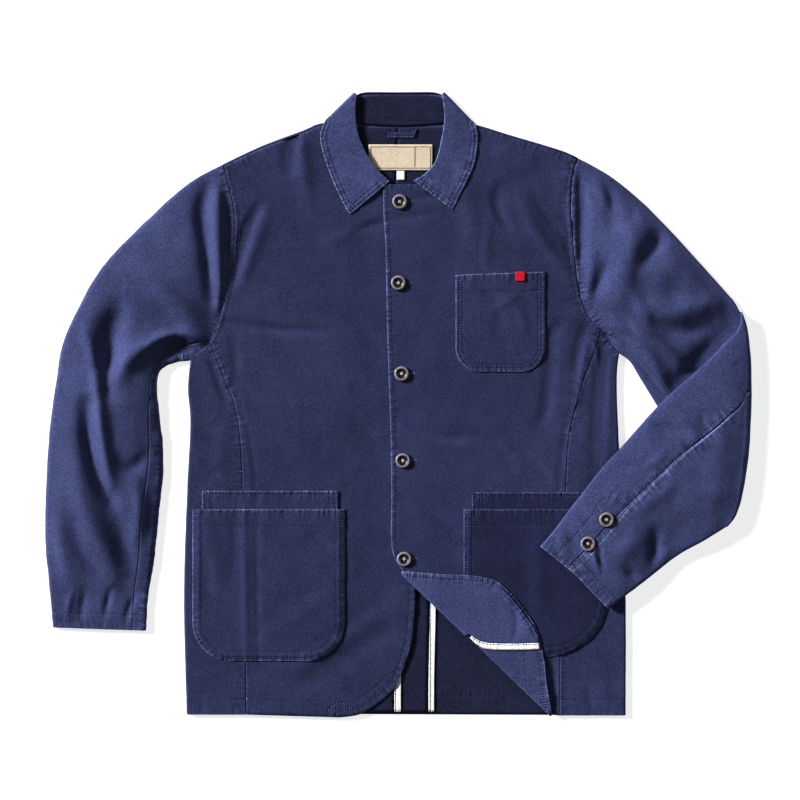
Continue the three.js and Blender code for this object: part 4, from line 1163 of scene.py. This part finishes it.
class Leaf:
    """One hand's end of a neck band: the leaf on the front, and the turn about the crease at its shoulder."""

    def __init__(self, hand, roll, outer, low, face):
        self.low, self.face = low, face
        self.crease, self.front = straight(roll[-1], outer[-1]), straight(roll[0], outer[0])
        across = self.crease(1) - self.crease(0)
        sign = -1 if hand == "right" else 1
        self.out = np.array([-across[1], across[0]]) * sign / np.linalg.norm(across)
        self.near, self.far = through([*roll[:-1], self.axis(0.0)]), through([*outer[:-1], self.axis(1.0)])
        self.plan = panel(self.front, self.axis, self.near, self.far)

    def half(self, w):
        """Half the height that the band turns over; its outer edge turns in less room."""
        return (self.face(self.crease(w), w) - self.low) / 2

    def reach(self, w):
        return self.half(w) * (1 - 0.85 * smoothstep(np.asarray(w), 0.7, 1))

    def axis(self, w):
        return self.crease(w) - self.out * np.asarray(self.reach(w))[..., None]

    def flat(self, s, w, depth):
        p = self.plan(s, w)
        return raised(p, self.face(p, w) - depth)

    def turn(self, angle, w, depth):
        half = self.half(w)
        radius = half - depth
        out = ((radius / half * np.cos(angle) - 1) * self.reach(w))[..., None]
        return raised(self.crease(w) + self.out * out, self.low + half + radius * np.sin(angle))


class NeckBand:
    """Two leaves and the length across the back between them."""

    def __init__(self, ends, back_roll, back_outer, low, face):
        self.low = low
        self.leaves = {hand: Leaf(hand, roll, outer, low, face) for hand, (roll, outer) in ends.items()}
        right, left = self.leaves["right"].axis, self.leaves["left"].axis
        self.behind = panel(right, left, through([right(0.0), *back_roll, left(0.0)]),
                            through([right(1.0), *back_outer, left(1.0)]))

    def back(self, s, w, depth):
        return raised(self.behind(s, w), self.low + depth)

    def grid(self, columns, depth, rows=34, curl=0.0):
        """The whole band; with a curl, its first columns are angles round the rolled edge."""
        angles, along = np.radians(np.linspace(72, -72, 7)), shares(150, 3)
        right, left = self.leaves["right"], self.leaves["left"]
        lengths = [(right.flat, along), (right.turn, angles), (self.back, np.linspace(0, 1, rows)),
                   (left.turn, angles[::-1]), (left.flat, along[::-1])]
        grids = []
        for maker, values in lengths:
            start = curl / (52 if maker == self.back else 55)
            parts = []
            if curl:
                s, angle = mesh_of(values, np.radians([-90, -60, -30, 0, 30, 60]))
                radius = curl - depth
                w = start * (1 - radius / curl * np.cos(angle))
                parts.append(maker(s, w, curl - radius * np.sin(angle)))
            s, w = mesh_of(values, lerp(start, 1, columns))
            parts.append(maker(s, w, depth))
            grids.append(np.concatenate(parts, axis=1))
        return laid(*grids)


fall = NeckBand(
    {
        "right": ([[-10, 279], [-26, 294], [-40, 315], [-50, 340], [-53, 365], [-55, 391]],
                  [[-59, 238], [-64, 243], [-80, 276], [-91, 306], [-96, 324], [-97, 340], [-91, 356]]),
        "left": ([[19, 280], [34, 289], [47, 305], [54, 332], [58, 360], [58, 391.5]],
                 [[69, 243], [75, 257], [86, 279], [96, 303], [100, 335], [97, 351]]),
    },
    [[-40, 391.4], [0, 391.5], [42, 391.5]], [[-62, 340], [-30, 336], [34, 336], [68, 340]], 0.0,
    lambda p, w: lerp(7.7, front_top(p) + LAYER, smoothstep(w, 0.1, 0.95)) + CLOTH,
)
leaf_seams = []
for sign, leaf in ((-1, fall.leaves["right"]), (1, fall.leaves["left"])):
    leaf_seams += [seam(edge, 3 * sign, 8 * sign, pucker=0.4, reach=9) for edge in (leaf.far, leaf.front)]
    leaf_seams.append(seam(leaf.near, pucker=0.12, reach=6))
# The fall takes the paler copy of the twill, painted light.
made_up("collar_fall", *wall(lambda depth: fall.grid(shares(55, 2.4, 1.3), depth, curl=1.3)), seed=9.0,
        cotton="navy_twill_painted_light", crease=0.2, seams=leaf_seams)

stand = NeckBand(
    {
        "right": ([[-13, 279], [-27.3, 292.9], [-41.5, 314.2], [-51.8, 339.6], [-54.9, 364.9], [-56.4, 384]],
                  [[-14.4, 277.6], [-29.4, 284.2], [-43, 296], [-53, 310.5], [-59.2, 329.5], [-62.5, 353.5]]),
        "left": ([[21.5, 279.6], [35.3, 287.6], [48.7, 304.2], [55.9, 331.7], [59.9, 360], [59.9, 384]],
                 [[22.4, 278], [36.2, 283], [48.6, 293.7], [56.6, 308.6], [62.2, 329.5], [64.5, 353.5]]),
    },
    [[-38, 386.8], [0, 387.4], [40, 387]], [[-36, 350.6], [0, 349], [38, 350.6]], 1.5,
    lambda p, w: lerp(7.3, front_top(p), w),
)
# The stand takes the darker inside cloth, partly painted shade under the fall.
made_up(
    "collar_stand", *wall(lambda depth: stand.grid(np.linspace(0, 1, 14), CLOTH - depth)), crease=0.0,
    cotton="navy_twill_inside_shaded", seed=10.0,
    seams=[seam(straight([-50, 353], [52, 353]), 2, pucker=0.04, worn=0.0),
           seam(straight([-50, 365.6], [54, 365.6]), 0, pucker=0.04, worn=0.0)],
)

# ---- Inside the back neck ----
# Hanger loop, blank woven label with plain border lines, and a bare size tab under it.


def strip_on_back(x0, x1, y0, y1, rows, columns):
    def grid(depth):
        y, x = mesh_of(np.linspace(y0, y1, rows), np.linspace(x0, x1, columns))
        p = np.dstack([x, y])
        return raised(p, back_top(p) + LAYER + 1 - depth)
    return grid


loop_foot = straight([-12.5, 334.2], [20.8, 334.2])
loop_plan = panel(straight([-12.5, 345.5], [-12.5, 335]), straight([24, 345.5], [20.5, 335]),
                  through([[-12.5, 345.5], [-9, 341.5], [16, 341.5], [24, 345.5]]), loop_foot)


def loop_grid(depth):
    p = loop_plan(*mesh_of(np.linspace(0, 1, 26), np.linspace(0, 1, 8)))
    return raised(p, back_top(np.array([0, 340.0])) + LAYER + CLOTH - depth)


made_up("hanger_loop", *wall(loop_grid), crease=0.15, seed=11.0, seams=[seam(loop_foot, 1.6, pucker=0.1)])
LEFT, RIGHT, TOP_EDGE, FOOT, DIVIDER = -37, 43.5, 325.6, 293, 21
# How far the border's stitches lie inside the label's edges.
BORDER = 3
made_up(
    "neck_label", *wall(strip_on_back(LEFT, RIGHT, TOP_EDGE, FOOT, 24, 50)), cotton="label_cotton",
    slot_name="label", crease=0.15, seed=12.0, thickness=0.8,
    seams=[seam(straight([LEFT, y], [RIGHT, y]), pucker=0.04, reach=3.0)
           for y in (TOP_EDGE - 0.6, FOOT + 0.6)],
)
left, right, top, foot = LEFT + BORDER, RIGHT - BORDER, TOP_EDGE - BORDER, FOOT + BORDER
frame_lines = [[(left, top), (right, top), (right, foot), (left, foot), (left, top)],
               [(DIVIDER, top), (DIVIDER, foot)]]
sewn("neck_label_border", [np.array(line) for line in frame_lines], SURFACES["neck_label"], "brown_thread",
     pitch=1.6, radius=0.34)
made_up("size_tab", *wall(strip_on_back(-1.6, 8.6, 292.5, 281, 8, 8)), cotton="white_binding",
        slot_name="binding", crease=0.1, seed=13.0, thickness=0.8)

# ---- Patch pockets ----
# Round-cornered patches on the fronts, topstitched twice round the sides, the mouth hemmed.


def pocket(name, left, right, top, bottom, corner, lift, hem, rows_in=(4, 11), climb=0.0, **finishing):
    """A patch; climb is how much higher the right end of its mouth is."""
    wide, tall = right - left, top - bottom
    down = np.r_[shares(tall - corner, 2.8), 1 + np.linspace(0, 1, 26)[1:]]
    drop = np.minimum(down, 1) * (tall - corner)
    angle = np.maximum(down - 1, 0) * np.pi / 2
    levels, insets = top - drop - corner * np.sin(angle), corner * (1 - np.cos(angle))

    def grid(depth):
        k, v = mesh_of(np.arange(len(down)), shares(wide, 2.8))
        y, inset = levels[k.astype(int)], insets[k.astype(int)]
        x = lerp(left + inset, right - inset, v)
        p = np.dstack([x, y + climb * v * smoothstep(y, bottom, top)])
        inside = smoothstep(np.minimum(np.minimum(x - left - inset, right - inset - x), y - bottom), 0, 7)
        return raised(p, front_top(p) + LAYER + lift * inside + CLOTH - depth)

    turn = np.linspace(0, np.pi / 2, 9)
    in_corner, up_corner = corner * (1 - np.cos(turn)), bottom + corner * (1 - np.sin(turn))
    halfway, middle = (top + bottom + corner) / 2, (left + right) / 2
    outline = [(left, top), (left, halfway), *zip(left + in_corner, up_corner), (middle, bottom),
               *zip(right - in_corner[::-1], up_corner[::-1]), (right, halfway), (right, top + climb)]
    mouth = straight([left, top], [right, top + climb])
    made_up(
        name, *wall(grid), crease=0.3, **finishing,
        seams=[seam(through(outline), *rows_in, pucker=0.26, reach=8, wave=8),
               seam(mouth, *(-h for h in hem), pucker=0.28, reach=10, wave=8)],
    )


# The outer patch lies one layer higher than the inner one; the left pair takes a darker cloth as painted
# shade from the forearm.
SECOND, SHADED = CLOTH + LAYER + 0.1, "navy_twill_painted_shade"
pocket("pocket_right_inner", -245, -75, -108, -300, 38, 0.0, (4.5,), seed=14.0)
pocket("pocket_right_outer", -257, -66.5, -131, -320.6, 48, SECOND, (21,), seed=15.0)
pocket("pocket_left_inner", 92.5, 252, -110, -298, 64, 0.0, (4.5,), seed=16.0, cotton=SHADED)
pocket("pocket_left_outer", 82, 262.5, -131, -315, 74, SECOND, (21,), seed=17.0, cotton=SHADED)
pocket("chest_pocket", 72, 184, 162, 41, 30, 0.0, (23,), (4.5, 8.5), climb=4.0, seed=18.0,
       extra=[np.array([[101, 162], [102.5, 100], [104, 43]], float)])


def tab_grid(depth):
    y, x = mesh_of(np.linspace(166, 154, 12), np.linspace(147, 158.5, 12))
    low = front_top(np.array([153.0, 160])) + 2 * LAYER + CLOTH + 0.1
    return np.dstack([x, y, np.full(x.shape, low + 1 - depth)])


made_up("chest_tab", *wall(tab_grid), cotton="red_tab", slot_name="tab", crease=0.12, seed=19.0)

# ---- Buttons ----
# Turned horn-look discs: a raised pale rim, a dished middle, four holes and a crossed thread, each with
# the tail of its buttonhole beside it.


def horn_finish():
    made, start = material("dark_horn")
    place, edge = on_object(start), attribute(start, "crest")
    streak = noise_at(place, 260.0, 4.0, 1.6)
    colour = streak.ramp(0.35, 0.68).mix(linear(20, 16, 15), linear(66, 54, 48))
    colour = (edge.ramp(0.25, 0.95) * (0.1 + streak * 1.1)).mix(colour, linear(176, 170, 176))
    bump = start.node("ShaderNodeBump", Height=streak, Strength=0.2, Distance=0.0002)
    return surface(made, {"Roughness": 0.35}, Base_Color=colour, Normal=bump, Roughness=0.28 + streak * 0.2)


HORN = horn_finish()
# columns: radius, height, paleness, in mm and from 0 to 1
PROFILE = [
    (0.05, 1.75, 0.0), (2.2, 1.75, 0.0), (4.3, 1.85, 0.0), (5.4, 2.5, 0.15), (6.2, 3.1, 0.5), (7.2, 3.3, 1.0),
    (8.4, 3.2, 1.0), (9.1, 2.8, 0.6), (9.5, 1.9, 0.2), (9.4, 1.0, 0.0), (8.6, 0.2, 0.0), (7.6, 0.0, 0.0),
    (0.05, 0.0, 0.0),
]
AROUND, QUARTER = 48, np.pi / 2
# The holes: how far from the middle, their radius and the drill's length.  The thread: how far its two
# strands lie from the middle, its radius and length, its height and how much higher the second pair is.
HOLE_PLACE, HOLE_RADIUS, DRILL = 1.9, 0.85, 5
STRAND_PLACE, STRAND_RADIUS, STRAND, STRAND_HEIGHT, OVER = 0.45, 0.45, 4.2, 1.95, 0.35


def around(angle):
    return Vector((np.cos(angle), np.sin(angle), 0))


def disc(name):
    """The profile turned about its axis."""
    bm = bmesh.new()
    bmesh.ops.create_grid(bm, x_segments=AROUND, y_segments=len(PROFILE) - 1, size=0.5)
    pale = bm.verts.layers.float.new("crest")
    for v in bm.verts:
        radius, height, shade = PROFILE[round((v.co.y + 0.5) * (len(PROFILE) - 1))]
        v.co = (radius * around((v.co.x + 0.5) * 2 * np.pi) + Vector((0, 0, height))) / 1000
        v[pale] = shade
    bmesh.ops.remove_doubles(bm, verts=bm.verts, dist=0.00002)
    bmesh.ops.holes_fill(bm, edges=[e for e in bm.edges if e.is_boundary])
    bmesh.ops.recalc_face_normals(bm, faces=bm.faces)
    for f in bm.faces:
        f.smooth = True
    return object_from(name, bm)


def button(piece, x, y, z, turned):
    """A drilled disc with its thread, at a place in mm."""
    obj = disc(f"{piece}_horn")
    drill, thread = bmesh.new(), bmesh.new()
    for k in range(4):
        place = HOLE_PLACE * around(turned + QUARTER * (k + 0.5)) + Vector((0, 0, 1.5))
        rod(drill, place / 1000, Vector((0, 0, 1)), DRILL / 1000, 12, HOLE_RADIUS / 1000)
    cutter = object_from(f"{piece}_horn_holes", drill)
    cut = obj.modifiers.new("holes", "BOOLEAN")
    cut.operation, cut.object, cut.solver = "DIFFERENCE", cutter, "EXACT"
    bpy.context.view_layer.update()
    drilled = bpy.data.meshes.new_from_object(obj.evaluated_get(bpy.context.evaluated_depsgraph_get()))
    obj.modifiers.clear()
    obj.data = drilled
    bpy.data.objects.remove(cutter)
    finish(obj, [piece], HORN)

    for k in range(2):
        angle = turned + QUARTER * (k + 0.5)
        for aside in (-STRAND_PLACE, STRAND_PLACE):
            place = aside * around(angle + QUARTER) + Vector((0, 0, STRAND_HEIGHT + OVER * k))
            rod(thread, place / 1000, around(angle), STRAND / 1000, 8, STRAND_RADIUS / 1000)
    cross = object_from(f"{piece}_horn_thread", thread)
    finish(cross, [], COTTON["pale_thread"])
    obj.location = cross.location = (x / 1000, y / 1000, z / 1000)


# Along the slit from stitch to stitch, and across it from its edge to a stitch's end.
HOLE_PITCH, HOLE_EDGE, HOLE_SIDE = 0.75, 0.25, 1.5


def buttonhole(name, start, end, tree):
    """Close stitches across a slit from start to end."""
    start, end = np.array(start, float), np.array(end, float)
    length = np.linalg.norm(end - start)
    ahead = (end - start) / length
    side = np.array([-ahead[1], ahead[0]])
    lines = [start + ahead * HOLE_PITCH * k + side * reach * np.array([[HOLE_EDGE], [HOLE_SIDE]])
             for k in range(int(length / HOLE_PITCH)) for reach in (-1, 1)]
    bar = end + side * np.array([[-1.6], [1.6]])
    sewn(name, [*lines, bar], tree, "blue_thread", pitch=1.24, radius=0.36)


# columns: x, y
FRONT_BUTTONS = [(2, 253.5), (0.3, 152), (4.4, 38.6), (6, -70), (7.6, -193)]
for k, (x, y) in enumerate(FRONT_BUTTONS):
    highest = max(float(left_top(np.array([x + step, y]))) for step in (-8, 8))
    button(f"front_button_{k + 1}", x, y, highest + LAYER, 0.15 * k)
    buttonhole(f"buttonhole_{k + 1}", (x + 5, y), (x + 17, y + 0.4), SURFACES["front_left"])
CUFF_BUTTONS = [(259, -143), (236, -173)]
for k, (x, y) in enumerate(CUFF_BUTTONS):
    cloths = [SURFACES[f"sleeve_left_{part}"] for part in ("top", "under")]
    heights = [hit.z * 1000 if hit else 0.0 for hit in (dropped(cloth, x, y) for cloth in cloths)]
    button(f"cuff_button_{k + 1}", x, y, max(heights) + LAYER, 0.4 + 0.2 * k)
    buttonhole(f"cuff_buttonhole_{k + 1}", (x - 5, y + 9), (x - 10, y + 19), cloths[int(np.argmax(heights))])

# ---- Table, light and camera ----
# A faintly glowing white table under a low, broad sun from the wearer's right and the collar's side, with a
# weak fill from the other side and a dim room; the camera looks straight down on the jacket's middle.
WHITE = (1, 1, 1, 1)
# Half the table's width and how far it lies under the jacket, in metres, and how much it glows.
TABLE, DROP, GLOW, ROOM_LIGHT = 3.0, 0.0004, 0.78, 0.1
bm = bmesh.new()
bmesh.ops.create_grid(bm, x_segments=8, y_segments=8, size=TABLE)
for v in bm.verts:
    v.co.z = -DROP
table = object_from("table_top", bm)
paper, start = material("white_table")
white = noise_at(on_object(start), 30.0).ramp(0.2, 0.8).mix((0.38, 0.38, 0.38, 1), (0.42, 0.42, 0.42, 1))
finish_of_table = {"Roughness": 0.9, "Emission Color": WHITE, "Emission Strength": GLOW}
table.data.materials.append(surface(paper, finish_of_table, Base_Color=white))

scene = bpy.context.scene
scene.world = bpy.data.worlds.new("room")
scene.world.use_nodes = True
sky = scene.world.node_tree.nodes["Background"].inputs
sky["Color"].default_value, sky["Strength"].default_value = WHITE, ROOM_LIGHT


def lamp(name, place, angle, power):
    data = bpy.data.lights.new(name, "SUN")
    data.angle, data.energy = angle, power
    obj = bpy.data.objects.new(name, data)
    obj.location = place
    obj.rotation_euler = (-Vector(place)).to_track_quat("-Z", "Y").to_euler()
    scene.collection.objects.link(obj)


# columns: name, place it shines from, spread in radians, power
for row in [("key", (-0.82, 0.4, 0.4), 0.2, 7.6), ("fill", (0.7, 0.3, 0.65), 0.4, 0.6)]:
    lamp(*row)

# The lens shows a metre across from this far over the level of the cloth.
CAMERA_RISE, CLOTH_LEVEL = 2.361, 0.008
camera = bpy.data.objects.new("camera", bpy.data.cameras.new("camera"))
camera.data.lens, camera.data.sensor_width = 85, 36
camera.location = (0.0025, 0.0056, CAMERA_RISE + CLOTH_LEVEL)
scene.collection.objects.link(camera)
scene.camera = camera
scene.view_settings.view_transform = "Standard"
scene.view_settings.gamma = 0.75
